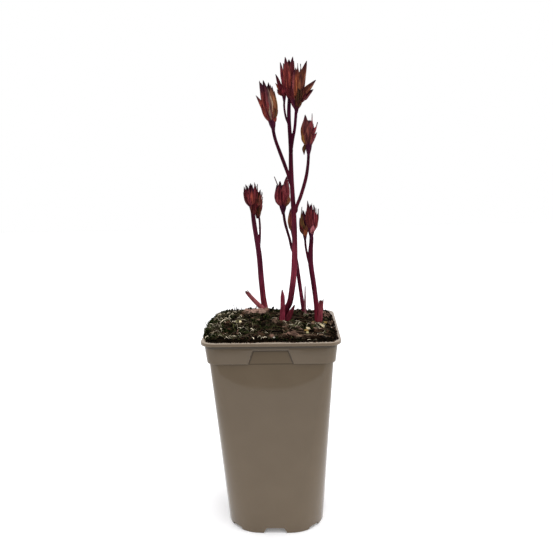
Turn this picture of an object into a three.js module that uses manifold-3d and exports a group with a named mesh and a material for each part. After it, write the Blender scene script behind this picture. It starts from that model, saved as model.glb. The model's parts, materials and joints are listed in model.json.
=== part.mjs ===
// A potted garden peony just after it breaks the ground in spring: red shoots carrying tight
// heads of unopened leaves, in a tall square nursery pot of taupe plastic.
// Units are millimetres, +Z is up, and the origin is the middle of the pot's foot.
// Seen from the front (looking along +Y) +X is to the right.

import * as THREE from 'three';
import { mergeVertices } from 'three/addons/utils/BufferGeometryUtils.js';
import Module from 'manifold-3d';

const wasm = await Module();
wasm.setup();

// Driving dimensions

const POT_HEIGHT = 215;
const LIP_HALF = 70; // half the square over the lip
const LIP_CORNER = 14;
const LIP_DEPTH = 3.5;
const LIP_TOP_EDGE = 0.9; // bevels along the lip
const LIP_UNDER_EDGE = 0.5;
const COLLAR_TOP_HALF = 66.8;
const COLLAR_TOP_CORNER = 11.5;
const COLLAR_FOOT_HALF = 64.7;
const COLLAR_FOOT_CORNER = 10.8;
const COLLAR_FOOT_Z = 192;
const BODY_TOP_HALF = 62.6;
const BODY_TOP_CORNER = 9.5;
const FOOT_HALF = 52.4;
const FOOT_CORNER = 37; // the square turns nearly round at its foot
const FOOT_EDGE = 0.6; // bevel around the foot
const FOOT_RING = 2.4; // wall of the ring that the pot stands on
const WALL = 1.5;
const FLOOR_UNDERSIDE_Z = 6.5;
const FLOOR_TOP_Z = FLOOR_UNDERSIDE_Z + WALL;
const CORNER_STEPS = 6;

const PANEL_TOP_Z = 206.2; // plain panel let into each side of the collar
const PANEL_TOP_HALF = 17.2;
const PANEL_FOOT_HALF = 22.4;
const PANEL_PROUD = 0.05; // how far the panel's face stands out of the body's

const SIDE_NOTCH_HEIGHT = 6.2; // drain notches through the foot ring
const SIDE_NOTCH_TOP_HALF = 9.3;
const SIDE_NOTCH_FOOT_HALF = 13;
const SIDE_NOTCH_NEAR = 40; // distance from the middle at which a notch starts
const CORNER_NOTCH_HEIGHT = 3.5;
const CORNER_NOTCH_HALF = 7;
const CORNER_NOTCH_NEAR = 48;
const DRAIN_RADIUS = 5;
const DRAIN_SPACING = 24;
const DRAIN_SIDES = 16;
const OVERCUT = 1; // how far a cut starts or ends outside what it cuts

const GAP = 0.6; // between soil and pot
const STEM_GAP = 0.35; // around a stem in its hole, and between a stem and its leaf head
const STEM_DEPTH = 26; // how far the stems reach below the surface
const ROOT_STEEPER = 3; // how many times steeper they are there
const SOIL_POINTS = 40; // around the surface
const SOIL_RINGS = [0.97, 0.86, 0.74, 0.61, 0.46, 0.3, 0.12]; // shares of the way out to the wall
const CHIP_THICKNESS = 4.6;
const CHIP_SINK = 0.5; // how far a chip's middle lies below the surface
const BLADE_THICKNESS = 0.78;
const STEM_SIDES = 8;
const BRANCH_SIDES = 6;
const CORE_SIDES = 7;
const SCALE_SIDES = 6;

// Vectors and seeded random numbers

const vec = (x, y, z) => new THREE.Vector3(x, y, z);
const mix = (a, b, t) => a + (b - a) * t;

function seededRandom(seed) {
  let state = seed;
  return () => {
    state = (state + 0x6d2b79f5) | 0;
    let bits = Math.imul(state ^ (state >>> 15), 1 | state);
    bits = (bits + Math.imul(bits ^ (bits >>> 7), 61 | bits)) ^ bits;
    return ((bits ^ (bits >>> 14)) >>> 0) / 4294967296;
  };
}

// Closed solids

function signedVolume(points, triangles) {
  let total = 0;
  for (const [a, b, c] of triangles) {
    total += points[a].dot(vec(0, 0, 0).crossVectors(points[b], points[c])) / 6;
  }
  return total;
}

function solidFrom(points, triangles) {
  const outward = signedVolume(points, triangles) > 0;
  const faces = outward ? triangles : triangles.map(([a, b, c]) => [a, c, b]);
  const mesh = new wasm.Mesh({
    numProp: 3,
    vertProperties: new Float32Array(points.flatMap((p) => [p.x, p.y, p.z])),
    triVerts: new Uint32Array(faces.flat()),
  });
  return new wasm.Manifold(mesh);
}

function solidFromGeometry(geometry) {
  geometry.deleteAttribute('normal');
  geometry.deleteAttribute('uv');
  const merged = mergeVertices(geometry);
  const place = merged.attributes.position;
  const points = Array.from({ length: place.count }, (_, i) => vec().fromBufferAttribute(place, i));
  const index = Array.from(merged.index.array);
  const triangles = [];
  for (let i = 0; i < index.length; i += 3) triangles.push(index.slice(i, i + 3));
  return solidFrom(points, triangles);
}

// Joins rings of equal length into a skin and closes both ends. The sides named in mirrored take
// the other diagonal, so that both faces of a thin blade are split alike.
function loft(rings, mirrored = []) {
  const count = rings[0].length;
  const points = rings.flat();
  const triangles = [];
  for (let r = 0; r + 1 < rings.length; r++) {
    for (let i = 0; i < count; i++) {
      const a = r * count + i;
      const b = r * count + ((i + 1) % count);
      const [c, d] = [b + count, a + count];
      if (mirrored.includes(i)) triangles.push([a, b, d], [b, c, d]);
      else triangles.push([a, b, c], [a, c, d]);
    }
  }
  const last = (rings.length - 1) * count;
  for (let i = 1; i + 1 < count; i++) {
    triangles.push([0, i + 1, i], [last, last + i, last + i + 1]);
  }
  return solidFrom(points, triangles);
}

const union = (solids) => wasm.Manifold.union(solids);

// The largest piece of a solid, with any sealed hollow filled and any loose scrap dropped.
function mainBody(solid) {
  const pieces = solid.decompose();
  return pieces.reduce((best, piece) => (piece.volume() > best.volume() ? piece : best));
}

function meshOf(name, solid, material) {
  const { vertProperties, triVerts } = mainBody(solid).getMesh();
  const geometry = new THREE.BufferGeometry();
  geometry.setAttribute('position', new THREE.BufferAttribute(vertProperties, 3));
  geometry.setIndex(new THREE.BufferAttribute(triVerts, 1));
  geometry.computeVertexNormals();
  const mesh = new THREE.Mesh(geometry, material);
  mesh.name = name;
  return mesh;
}

// Materials

const finish = (color, roughness) =>
  new THREE.MeshStandardMaterial({ color, roughness, metalness: 0 });

const potPlastic = finish(0x706456, 0.38);
const pottingSoil = finish(0x33291f, 0.95);
const stemSkin = finish(0x64203a, 0.45);
const youngLeaf = finish(0x6e2c22, 0.5);
const budScale = finish(0xb04050, 0.5);

// The pot

function squareRing(half, corner, z) {
  const centre = half - corner;
  const ring = [];
  for (let c = 0; c < 4; c++) {
    const cx = [1, -1, -1, 1][c] * centre;
    const cy = [1, 1, -1, -1][c] * centre;
    for (let s = 0; s <= CORNER_STEPS; s++) {
      const angle = ((c + s / CORNER_STEPS) * Math.PI) / 2;
      ring.push(vec(cx + corner * Math.cos(angle), cy + corner * Math.sin(angle), z));
    }
  }
  return ring;
}

const bodyHalf = (z) => mix(FOOT_HALF, BODY_TOP_HALF, z / COLLAR_FOOT_Z);
const bodyCorner = (z) => mix(FOOT_CORNER, BODY_TOP_CORNER, z / COLLAR_FOOT_Z);
const bodyRing = (z, inset) => squareRing(bodyHalf(z) - inset, bodyCorner(z) - inset, z);

function collarRing(z, inset) {
  const t = (z - COLLAR_FOOT_Z) / (POT_HEIGHT - LIP_DEPTH - COLLAR_FOOT_Z);
  const half = mix(COLLAR_FOOT_HALF, COLLAR_TOP_HALF, t) - inset;
  const corner = mix(COLLAR_FOOT_CORNER, COLLAR_TOP_CORNER, t) - inset;
  return squareRing(half, corner, z);
}

// A wedge that stands on one side of the pot: a trapezoid seen square on, from the wall outwards.
function panelWedge(grow, turn) {
  const low = COLLAR_FOOT_Z - OVERCUT;
  const high = PANEL_TOP_Z + grow;
  const surface = (z) => grow - bodyHalf(z) - PANEL_PROUD;
  const outline = [
    [-PANEL_FOOT_HALF - grow, low],
    [PANEL_FOOT_HALF + grow, low],
    [PANEL_TOP_HALF + grow, high],
    [-PANEL_TOP_HALF - grow, high],
  ];
  const axis = vec(0, 0, 1);
  const ring = (depth) => outline.map(([x, z]) => vec(x, depth(z), z).applyAxisAngle(axis, turn));
  return loft([ring(surface), ring(() => -LIP_HALF - OVERCUT)]);
}

const quarterTurns = [0, 1, 2, 3].map((n) => (n * Math.PI) / 2);
const panelWedges = (grow) => union(quarterTurns.map((turn) => panelWedge(grow, turn)));

// A trapezoid cut through the foot ring from a distance near the middle outwards.
function footNotch(topHalf, footHalf, height, near, turn) {
  const axis = vec(0, 0, 1);
  const outline = [
    [-footHalf, -OVERCUT],
    [footHalf, -OVERCUT],
    [topHalf, height],
    [-topHalf, height],
  ];
  const ring = (y) => outline.map(([x, z]) => vec(x, y, z).applyAxisAngle(axis, turn));
  return loft([ring(-near), ring(-LIP_HALF)]);
}

function footNotches() {
  const side = [SIDE_NOTCH_TOP_HALF, SIDE_NOTCH_FOOT_HALF, SIDE_NOTCH_HEIGHT, SIDE_NOTCH_NEAR];
  const corner = [CORNER_NOTCH_HALF, CORNER_NOTCH_HALF, CORNER_NOTCH_HEIGHT, CORNER_NOTCH_NEAR];
  return union(
    quarterTurns.flatMap((turn) => [
      footNotch(...side, turn),
      footNotch(...corner, turn + Math.PI / 4),
    ]),
  );
}

function drainHoles() {
  const spots = [[0, 0], ...[-1, 1].flatMap((i) => [-1, 1].map((j) => [i, j]))];
  return union(
    spots.map(([i, j]) => {
      const hole = new THREE.CylinderGeometry(DRAIN_RADIUS, DRAIN_RADIUS, 4 * WALL, DRAIN_SIDES);
      hole.rotateX(Math.PI / 2);
      hole.translate(i * DRAIN_SPACING, j * DRAIN_SPACING, FLOOR_UNDERSIDE_Z);
      return solidFromGeometry(hole);
    }),
  );
}

function potSolid() {
  const lipFoot = POT_HEIGHT - LIP_DEPTH;
  const lipRing = (inset, z) => squareRing(LIP_HALF - inset, LIP_CORNER - inset, z);
  const outside = loft([
    squareRing(FOOT_HALF - FOOT_EDGE, FOOT_CORNER - FOOT_EDGE, 0),
    bodyRing(FOOT_EDGE, 0),
    bodyRing(COLLAR_FOOT_Z, 0),
    collarRing(COLLAR_FOOT_Z, 0),
    collarRing(lipFoot, 0),
    lipRing(LIP_UNDER_EDGE, lipFoot),
    lipRing(0, lipFoot + LIP_UNDER_EDGE),
    lipRing(0, POT_HEIGHT - LIP_TOP_EDGE),
    lipRing(LIP_TOP_EDGE, POT_HEIGHT),
  ]);
  const inside = loft([
    bodyRing(FLOOR_TOP_Z, WALL),
    bodyRing(COLLAR_FOOT_Z + WALL, WALL),
    collarRing(COLLAR_FOOT_Z + WALL, WALL),
    collarRing(lipFoot, WALL),
    collarRing(POT_HEIGHT + OVERCUT, WALL),
  ]).subtract(panelWedges(WALL));
  const underside = loft([bodyRing(-OVERCUT, FOOT_RING), bodyRing(FLOOR_UNDERSIDE_Z, FOOT_RING)]);
  return outside
    .subtract(panelWedges(0))
    .subtract(inside)
    .subtract(underside)
    .subtract(footNotches())
    .subtract(drainHoles());
}

// Stems. Each runs along a curve through hand-set points from below the soil to its leaf heads.

const tubeSteps = (route) => Math.round(1.5 * (route.length - 1));

// A tapering tube along a curve through the points of a route. The radii are spread evenly along
// it, and grow makes it thicker and longer all round.
function tube(route, radii, sides, grow = 0, steps = tubeSteps(route)) {
  const curve = new THREE.CatmullRomCurve3(route.map((p) => vec(...p)));
  const back = vec(0, 1, 0);
  const rings = [];
  for (let s = 0; s <= steps; s++) {
    const t = s / steps;
    const along = curve.getTangent(t);
    const side = vec().crossVectors(back, along).normalize();
    const forward = vec().crossVectors(along, side);
    const place = t * (radii.length - 1);
    const low = Math.min(Math.floor(place), radii.length - 2);
    const radius = mix(radii[low], radii[low + 1], place - low) + grow;
    const push = s === 0 ? -grow : s === steps ? grow : 0;
    const middle = curve.getPoint(t).addScaledVector(along, push);
    rings.push(
      Array.from({ length: sides }, (_, i) => {
        const angle = (i / sides) * 2 * Math.PI;
        return middle
          .clone()
          .addScaledVector(side, radius * Math.cos(angle))
          .addScaledVector(forward, radius * Math.sin(angle));
      }),
    );
  }
  return loft(rings);
}

// The stretch below the surface goes on down from the first two points of a route, but steeper.
function rooted(route) {
  const [x0, y0, z0] = route[0];
  const [x1, y1, z1] = route[1];
  const share = STEM_DEPTH / (z1 - z0) / ROOT_STEEPER;
  return [[x0 - (x1 - x0) * share, y0 - (y1 - y0) * share, z0 - STEM_DEPTH], ...route];
}

const stems = {
  stem_left: [
    {
      route: rooted([
        [-10.4, 44, 221.5],
        [-12, 42.7, 233.7],
        [-14, 41.3, 260],
        [-15.5, 40, 287],
        [-18.3, 38.7, 308],
        [-20.4, 37.3, 325.5],
        [-21.6, 36, 339],
      ]),
      radii: [3.2, 3.2, 3, 2.8, 2.4, 2.1],
    },
    {
      route: [
        [-16, 39.8, 291],
        [-14.6, 39.8, 301],
        [-13.9, 40.2, 314],
        [-14.1, 40.6, 325],
        [-15.3, 41, 335.2],
      ],
      radii: [1.1, 1.2, 1.1],
    },
  ],
  stem_main: [
    {
      route: rooted([
        [10, 4, 221],
        [14, 4.4, 230.5],
        [18.4, 4.7, 238],
        [21.3, 5.1, 252],
        [24.2, 5.5, 275],
        [25.2, 5.8, 297],
        [25.2, 6.2, 324],
        [23.8, 6.5, 356],
        [22.7, 6.9, 381],
        [22.6, 7.3, 405],
        [21.3, 7.6, 437],
        [22.3, 8, 457],
      ]),
      radii: [3.2, 3, 3, 2.9, 2.8, 2.3, 2.2, 1.9, 1.6],
    },
    {
      route: [
        [24.6, 5.8, 331],
        [28.4, 3, 344],
        [31.9, 0.8, 352.5],
        [35.8, -1.4, 364.5],
        [38.6, -3.8, 375.5],
        [40.4, -6.8, 389],
        [40.9, -9.4, 400.4],
      ],
      radii: [1.6, 1.9, 1.7, 1.5],
    },
    {
      route: [
        [23.3, 6, 363],
        [20.3, 4, 374],
        [15.8, 2, 387],
        [11.3, 0, 399.5],
        [7.2, -2, 411.5],
        [5.3, -4, 420.5],
        [4.7, -6, 426.2],
      ],
      radii: [1.6, 1.9, 1.7, 1.7],
    },
    {
      route: [
        [21.8, 7.7, 418],
        [20.6, 9, 428],
        [18.3, 10.2, 434.5],
        [16.6, 11, 445],
        [16.7, 12, 454.9],
      ],
      radii: [1, 1.1, 1],
    },
    {
      route: [
        [22.6, 7, 395.5],
        [23.6, 6.4, 403.5],
        [25.3, 6, 414],
        [27, 5.7, 422.5],
        [28.1, 5.4, 432],
        [29.2, 5, 444.6],
      ],
      radii: [1.4, 1.6, 1.5],
    },
  ],
  stem_behind: [
    {
      route: rooted([
        [34.6, 40.5, 218.2],
        [33.3, 41, 227],
        [30.8, 40.6, 247],
        [28.7, 39.3, 264],
        [27.2, 36.8, 277],
        [25.3, 34.2, 287],
        [22, 31.7, 294.5],
        [19.5, 29.1, 306],
        [14.8, 26.6, 324.5],
        [13, 24, 339.6],
      ]),
      radii: [2.2, 2, 1.9, 1.8, 1.5, 1.3, 1.3],
    },
    {
      route: [
        [26.4, 35.6, 282],
        [24.8, 31.5, 294.5],
        [24, 27.3, 304],
        [23.3, 24, 312.9],
      ],
      radii: [1.2, 1.3, 1.2],
    },
  ],
  stem_right: [
    {
      route: rooted([
        [48.9, 7, 216.4],
        [48.4, 7.6, 228.5],
        [47.3, 8, 240.5],
        [45.1, 8.2, 259.5],
        [42.2, 7.9, 282],
        [42.4, 6.9, 296],
        [43.2, 5.4, 307],
        [43, 4, 313.4],
      ]),
      radii: [3, 2.8, 2.5, 2.5, 2.6, 2.2, 1.9],
    },
    {
      route: [
        [42.6, 8.4, 276],
        [39.9, 8.7, 284],
        [38.3, 9, 291.5],
        [36.9, 9.5, 300.5],
        [36.4, 10, 310.7],
      ],
      radii: [1.1, 1.3, 1.2],
    },
  ],
};

function stemSolid(name, grow = 0) {
  const sides = (i) => (i === 0 ? STEM_SIDES : BRANCH_SIDES);
  return union(stems[name].map(({ route, radii }, i) => tube(route, radii, sides(i), grow)));
}

// Leaf heads. A leaflet springs from its head's core, swells out to its belly and runs to a
// pointed tip. It is folded along its midrib with its two halves turned in.

const LEAFLET_STATIONS = [0, 0.36, 0.72, 1];
const LEAFLET_WIDTHS = [0.3, 1, 0.72, 0.1];
const ROOT_RADIUS = 1.6;
const LEAFLET_FOLD = Math.PI / 5.5;
const LEAFLET_INNER_SIDES = [3, 4];
const BELLY_AT = 0.42;

function leaflet(base, axis, [azimuth, root, length, belly, tip, width]) {
  const turn = THREE.MathUtils.degToRad(azimuth);
  const away = vec(Math.cos(turn), Math.sin(turn), 0);
  away.addScaledVector(axis, -away.dot(axis)).normalize();
  const side = vec().crossVectors(axis, away);
  const at = (r, h) => base.clone().addScaledVector(away, r).addScaledVector(axis, h);
  const spine = new THREE.CatmullRomCurve3([
    at(ROOT_RADIUS, root),
    at(belly, root + BELLY_AT * length),
    at(tip, root + length),
  ]);
  const rings = LEAFLET_STATIONS.map((t, i) => {
    const middle = spine.getPoint(t);
    const along = spine.getTangent(t).multiplyScalar(Math.sign(length));
    const outward = vec().crossVectors(side, along).normalize();
    const half = (LEAFLET_WIDTHS[i] * width) / 2;
    const corner = (s, inner) =>
      middle
        .clone()
        .addScaledVector(side, s * half * Math.cos(LEAFLET_FOLD))
        .addScaledVector(outward, -Math.abs(s) * half * Math.sin(LEAFLET_FOLD))
        .addScaledVector(outward, inner ? -BLADE_THICKNESS : 0);
    return [
      corner(-1, false),
      corner(0, false),
      corner(1, false),
      corner(1, true),
      corner(0, true),
      corner(-1, true),
    ];
  });
  return loft(rings, LEAFLET_INNER_SIDES);
}

function core(base, axis, width, height) {
  const at = (h) => base.clone().addScaledVector(axis, h * height).toArray();
  const radii = [1.8, width, width, 0.8 * width, 0.4];
  return tube([at(0.02), at(0.5), at(1)], radii, CORE_SIDES, 0, radii.length - 1);
}

// Each cluster: where its stalk ends, which way it leans, its core's radius and height, and its
// leaflets as azimuth in degrees, root height, length, belly radius, tip radius and width.
const heads = {
  leaves_left: {
    stem: 'stem_left',
    clusters: [
      {
        base: [-21.6, 36, 339],
        lean: [-0.05, 0],
        core: [3.8, 16],
        leaflets: [
          [195, 1.5, 24.5, 8, 7.5, 8],
          [172, 1.5, 18, 7.5, 9, 7],
          [245, 2, 26, 7, 4, 8],
          [320, 2, 26.5, 6.5, 6.7, 7],
          [345, 2, 24.8, 7, 8.7, 7],
          [0, 2, 19.2, 7, 11.3, 6],
          [285, 2, 22, 7, 5, 8],
          [40, 2, 26, 7, 7, 9],
          [90, 2, 27, 7, 5, 9],
          [135, 2, 25, 7.5, 7, 9],
        ],
      },
      {
        base: [-15.3, 41, 335.2],
        lean: [0.05, 0.05],
        core: [3, 12],
        leaflets: [
          [330, 1.5, 23.5, 4.5, 1.6, 6],
          [350, 1.5, 16.7, 4.5, 4.4, 6],
          [340, 0.8, 8, 4.2, 5.4, 5],
          [80, 1.5, 22, 4.5, 3, 7],
          [215, 1.5, 20, 5, 5, 6],
        ],
      },
    ],
  },
  leaves_top: {
    stem: 'stem_main',
    clusters: [
      {
        base: [22.3, 8, 457],
        lean: [0, 0],
        core: [4, 20],
        leaflets: [
          [215, 2, 35, 6.5, 5, 12],
          [325, 2, 35, 6.5, 5.2, 11],
          [183, 1.5, 31, 8, 9.2, 8],
          [265, 2, 26, 6.8, 4.5, 9],
          [40, 2, 32, 7, 7, 11],
          [90, 2, 34, 6.5, 5, 11],
          [140, 1.5, 31, 7.5, 8, 11],
        ],
      },
      {
        base: [16.7, 12, 454.9],
        lean: [0, 0],
        core: [2.6, 12],
        leaflets: [
          [190, 1.5, 22, 6, 8.8, 8],
          [176, 1.5, 13.5, 5.5, 8.4, 7],
          [330, 1.5, 20, 4.5, 4, 7],
        ],
      },
      {
        base: [29.2, 5, 444.6],
        lean: [0, 0],
        core: [4.2, 22],
        leaflets: [
          [318, 1.5, 41.5, 9, 15, 12],
          [330, 2, 39.8, 7, 6, 9],
          [290, 2, 39.9, 7, 6, 10],
          [338, 3, 21.8, 10, 21.6, 9],
          [352, 2, 14.5, 9, 17.8, 8],
          [30, 2, 38, 8, 8, 11],
          [90, 2, 37, 7.5, 6, 12],
          [245, 2, 34, 6.5, 5, 10],
        ],
      },
    ],
  },
  leaves_upper_left: {
    stem: 'stem_main',
    clusters: [
      {
        base: [4.7, -6, 426.2],
        lean: [-0.16, -0.04],
        core: [4.4, 24],
        leaflets: [
          [200, 1.5, 29.5, 7.5, 12.1, 8],
          [232, 2, 35.4, 8, 8.6, 10],
          [190, 2, 42.5, 6.5, 5.5, 9],
          [292, 2, 40, 8, 5, 11],
          [330, 2, 39.5, 8.5, 7.3, 11],
          [352, 2, 33, 7.5, 9.5, 10],
          [345, 0.5, 12, 5.4, 4, 6],
          [55, 2, 40, 8, 6, 12],
          [110, 2, 43, 8, 5, 12],
          [155, 2, 38, 7.5, 7, 9],
          [262, 2, 34, 8, 4.5, 10],
        ],
      },
    ],
  },
  leaves_upper_right: {
    stem: 'stem_main',
    clusters: [
      {
        base: [40.9, -9.4, 400.4],
        lean: [0.02, 0],
        core: [3.8, 18],
        leaflets: [
          [215, 1.5, 33, 7.8, 5, 12],
          [262, 2, 24, 7, 4, 10],
          [300, 2, 33.3, 6, 6.6, 8],
          [335, 2, 26, 6.5, 9.7, 9],
          [20, 2, 24, 6, 5, 9],
          [70, 2, 28, 6.5, 4, 11],
          [120, 2, 28, 7, 3, 11],
          [165, 1.5, 23, 7.5, 5, 9],
          [190, 9, -13, 5, 4.4, 4.5],
        ],
      },
    ],
  },
  leaves_mid_left: {
    stem: 'stem_behind',
    clusters: [
      {
        base: [13, 24, 339.6],
        lean: [-0.02, 0],
        core: [4.6, 18],
        leaflets: [
          [195, 1, 32.5, 8.8, 8, 9],
          [233, 2, 28, 8.5, 4.5, 10],
          [325, 2, 32.5, 8, 6.7, 11],
          [352, 0.5, 17, 8.2, 6.5, 9],
          [277, 1.5, 29, 8.5, 3.5, 11],
          [35, 2, 30, 8.5, 4.5, 12],
          [90, 2, 30, 8.5, 4, 12],
          [145, 2, 31, 8.5, 4, 11],
        ],
      },
    ],
  },
  leaves_mid_right: {
    stem: 'stem_behind',
    clusters: [
      {
        base: [23.3, 24, 312.9],
        lean: [0, 0],
        core: [2.8, 16],
        leaflets: [
          [180, 1, 26, 5.2, 2.5, 7],
          [252, 1.5, 28, 5, 3, 8],
          [324, 1.5, 29, 5, 3.5, 8],
          [36, 1.5, 28, 5, 4, 8],
          [108, 1.5, 27, 5, 3, 8],
        ],
      },
    ],
  },
  leaves_right: {
    stem: 'stem_right',
    clusters: [
      {
        base: [43, 4, 313.4],
        lean: [0.03, 0],
        core: [3.8, 16],
        leaflets: [
          [215, 2, 33.4, 6, 6, 8],
          [290, 2, 27.8, 7, 4.5, 8],
          [320, 2, 24.6, 7, 5.3, 7],
          [345, 2, 24, 7, 7, 7],
          [5, 1.5, 16.8, 6.5, 5.6, 6],
          [350, 1, 11.7, 5, 4.9, 6],
          [252, 2, 28, 6.5, 3.5, 8],
          [50, 2, 27, 6.5, 5, 9],
          [100, 2, 29, 6.5, 4, 9],
          [155, 2, 30, 6.5, 5, 9],
        ],
      },
      {
        base: [36.4, 10, 310.7],
        lean: [-0.04, 0.03],
        core: [3, 14],
        leaflets: [
          [215, 1.5, 29, 5, 1.6, 7],
          [190, 1.5, 18.7, 5.3, 4.9, 7],
          [175, 1, 11, 5, 5.3, 6],
          [90, 1.5, 26, 5, 3, 7],
          [325, 1.5, 22, 7, 6.5, 7],
        ],
      },
    ],
  },
};

function clusterSolid({ base, lean, core: [width, height], leaflets }) {
  const foot = vec(...base);
  const axis = vec(lean[0], lean[1], 1).normalize();
  return union([
    core(foot, axis, width, height),
    ...leaflets.map((shape) => leaflet(foot, axis, shape)),
  ]);
}

function headSolid(name) {
  const { stem, clusters } = heads[name];
  return union(clusters.map(clusterSolid)).subtract(stemSolid(stem, STEM_GAP));
}

// Bud scales: the torn sheaths left at the foot of the shoots. Each is a flattened blade along a
// short route, cut clear of the stem it leans on.

const scales = {
  bud_scale_left: {
    stem: 'stem_left',
    route: [[-5, 40, 207], [-11, 38.6, 222], [-18.5, 38, 230], [-25.5, 37, 238], [-31.6, 36, 246]],
    widths: [2.9, 3.2, 2.7, 2.4, 2.2],
    thickness: 0.8,
  },
  bud_scale_main: {
    stem: 'stem_main',
    route: [[9.6, -4, 207], [10.6, -3.2, 222], [11.2, -2.4, 236], [11.3, -2, 247], [11, -1.8, 254.5]],
    widths: [2.4, 2.8, 2.6, 2.3, 0.5],
    thickness: 0.8,
  },
  bud_sheath_main: {
    stem: 'stem_main',
    route: [[13.5, 0, 206], [16.4, 0, 221], [20, 0, 229], [24.2, 0, 237]],
    widths: [2.6, 3.2, 2.8, 0.6],
    thickness: 1.1,
  },
  bud_scale_behind: {
    stem: 'stem_behind',
    route: [[36.4, 35.8, 206], [36, 36.2, 219], [36, 36.6, 233], [36.3, 37, 250.5]],
    widths: [1.3, 1.3, 1.1, 0.5],
    thickness: 0.6,
  },
  bud_scale_right: {
    stem: 'stem_right',
    route: [[51, 2, 204], [51.2, 2.4, 216.5], [52, 2.8, 228.5], [53.2, 3.2, 241.5]],
    widths: [2.6, 2.9, 2.7, 2.5],
    thickness: 0.8,
  },
};

function scaleSolid(name, grow = 0) {
  const { stem, route, widths, thickness } = scales[name];
  const curve = new THREE.CatmullRomCurve3(route.map((p) => vec(...p)));
  const steps = 2 * (route.length - 1);
  const rings = Array.from({ length: steps + 1 }, (_, s) => {
    const t = s / steps;
    const along = curve.getTangent(t);
    const side = vec().crossVectors(vec(0, 1, 0), along).normalize();
    const forward = vec().crossVectors(along, side);
    const place = t * (widths.length - 1);
    const low = Math.min(Math.floor(place), widths.length - 2);
    const half = mix(widths[low], widths[low + 1], place - low) + grow;
    const middle = curve.getPoint(t).addScaledVector(along, s === 0 ? -grow : 0);
    return Array.from({ length: SCALE_SIDES }, (_, i) => {
      const angle = (i / SCALE_SIDES) * 2 * Math.PI;
      return middle
        .clone()
        .addScaledVector(side, half * Math.cos(angle))
        .addScaledVector(forward, (thickness + grow) * Math.sin(angle));
    });
  });
  const blade = loft(rings);
  return grow ? blade : blade.subtract(stemSolid(stem, STEM_GAP));
}

// The soil: heaped around the shoots and mossy along its left edge, with lumps and bark chips.

const mound = (x, y, cx, cy, spread, height) =>
  height * Math.exp(-((x - cx) ** 2 + (y - cy) ** 2) / (2 * spread ** 2));

function heapHeight(x, y) {
  const level = 212.5 - 0.01 * x;
  const crown = mound(x, y, -5, 22, 42, 10.5);
  const moss = mound(x, y, -58, -4, 22, 8);
  const lumps = Math.sin(0.31 * x + 1.3) * Math.cos(0.27 * y - 0.6) + Math.sin(0.19 * (x + y) + 2.1);
  return level + crown + moss + 0.7 * lumps;
}

// Distance from the middle to a rounded square in the direction of an angle.
function squareReach(half, corner, angle) {
  const c = Math.abs(Math.cos(angle));
  const s = Math.abs(Math.sin(angle));
  const centre = half - corner;
  const across = Math.max(c, s);
  const offSide = (half * Math.min(c, s)) / across;
  if (offSide <= centre) return half / across;
  return centre * (c + s) + Math.sqrt(corner ** 2 - centre ** 2 * (1 - 2 * c * s));
}

function soilRing(half, corner, height, share = 1) {
  return Array.from({ length: SOIL_POINTS }, (_, i) => {
    const angle = (i / SOIL_POINTS) * 2 * Math.PI;
    const reach = share * squareReach(half, corner, angle);
    const x = reach * Math.cos(angle);
    const y = reach * Math.sin(angle);
    return vec(x, y, height(x, y));
  });
}

function heapSolid() {
  const inset = WALL + GAP;
  const bodyLevel = (z) => soilRing(bodyHalf(z) - inset, bodyCorner(z) - inset, () => z);
  const shoulder = COLLAR_FOOT_Z + WALL + GAP;
  const edge = [COLLAR_TOP_HALF - inset, COLLAR_TOP_CORNER - inset];
  return loft([
    bodyLevel(FLOOR_TOP_Z + GAP),
    bodyLevel(COLLAR_FOOT_Z / 2),
    bodyLevel(shoulder),
    soilRing(COLLAR_FOOT_HALF - inset, COLLAR_FOOT_CORNER - inset, () => shoulder),
    soilRing(...edge, (x, y) => heapHeight(x, y) - 1),
    ...SOIL_RINGS.map((share) => soilRing(...edge, heapHeight, share)),
  ]).subtract(panelWedges(inset));
}

// A flat flake of bark, half sunk in the surface.
function chip([x, y, length, width, turn, tilt]) {
  const outline = [
    [-0.5, -0.1],
    [-0.2, -0.5],
    [0.5, -0.3],
    [0.34, 0.46],
    [-0.34, 0.5],
  ];
  const place = new THREE.Matrix4().makeTranslation(x, y, heapHeight(x, y) - CHIP_SINK);
  place.multiply(new THREE.Matrix4().makeRotationZ(THREE.MathUtils.degToRad(turn)));
  place.multiply(new THREE.Matrix4().makeRotationY(THREE.MathUtils.degToRad(tilt)));
  const ring = (z, scale) =>
    outline.map(([u, v]) => vec(u * length * scale, v * width * scale, z).applyMatrix4(place));
  return loft([ring(-CHIP_THICKNESS / 2, 1), ring(CHIP_THICKNESS / 2, 0.9)]);
}

// Chips that the eye picks out: x, y, length, width, turn and tilt in degrees.
const namedChips = [
  [-21, 36, 16, 7, 12, -6],
  [18.5, -37, 21, 8, -22, 5],
  [2.3, -14, 8, 6, 60, 10],
  [-40, -22, 7, 5, 30, -12],
  [37, -40, 8, 5, -35, 12],
  [53, -16, 8, 5, 70, -14],
  [-14, -44, 9, 7, 15, 8],
  [30, 20, 9, 6, 40, -8],
];

// The rest lie about a loose grid, four across and three deep.
function scatteredChips() {
  const random = seededRandom(31);
  const around = (middle, spread) => middle + spread * (random() - 0.5);
  const chips = [];
  for (const x of [-49, -16, 16, 49]) {
    for (const y of [-48, 0, 48]) {
      const length = around(10, 6);
      const width = length * around(0.6, 0.3);
      chips.push([around(x, 12), around(y, 12), length, width, around(180, 360), around(0, 34)]);
    }
  }
  return chips;
}

function soilSolid() {
  const chips = [...namedChips, ...scatteredChips()].map(chip);
  const holes = [
    ...Object.keys(stems).map((name) => stemSolid(name, STEM_GAP)),
    ...Object.keys(scales).map((name) => scaleSolid(name, STEM_GAP)),
  ];
  return union([heapSolid(), ...chips]).subtract(union(holes));
}

// The whole plant in its pot

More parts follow.
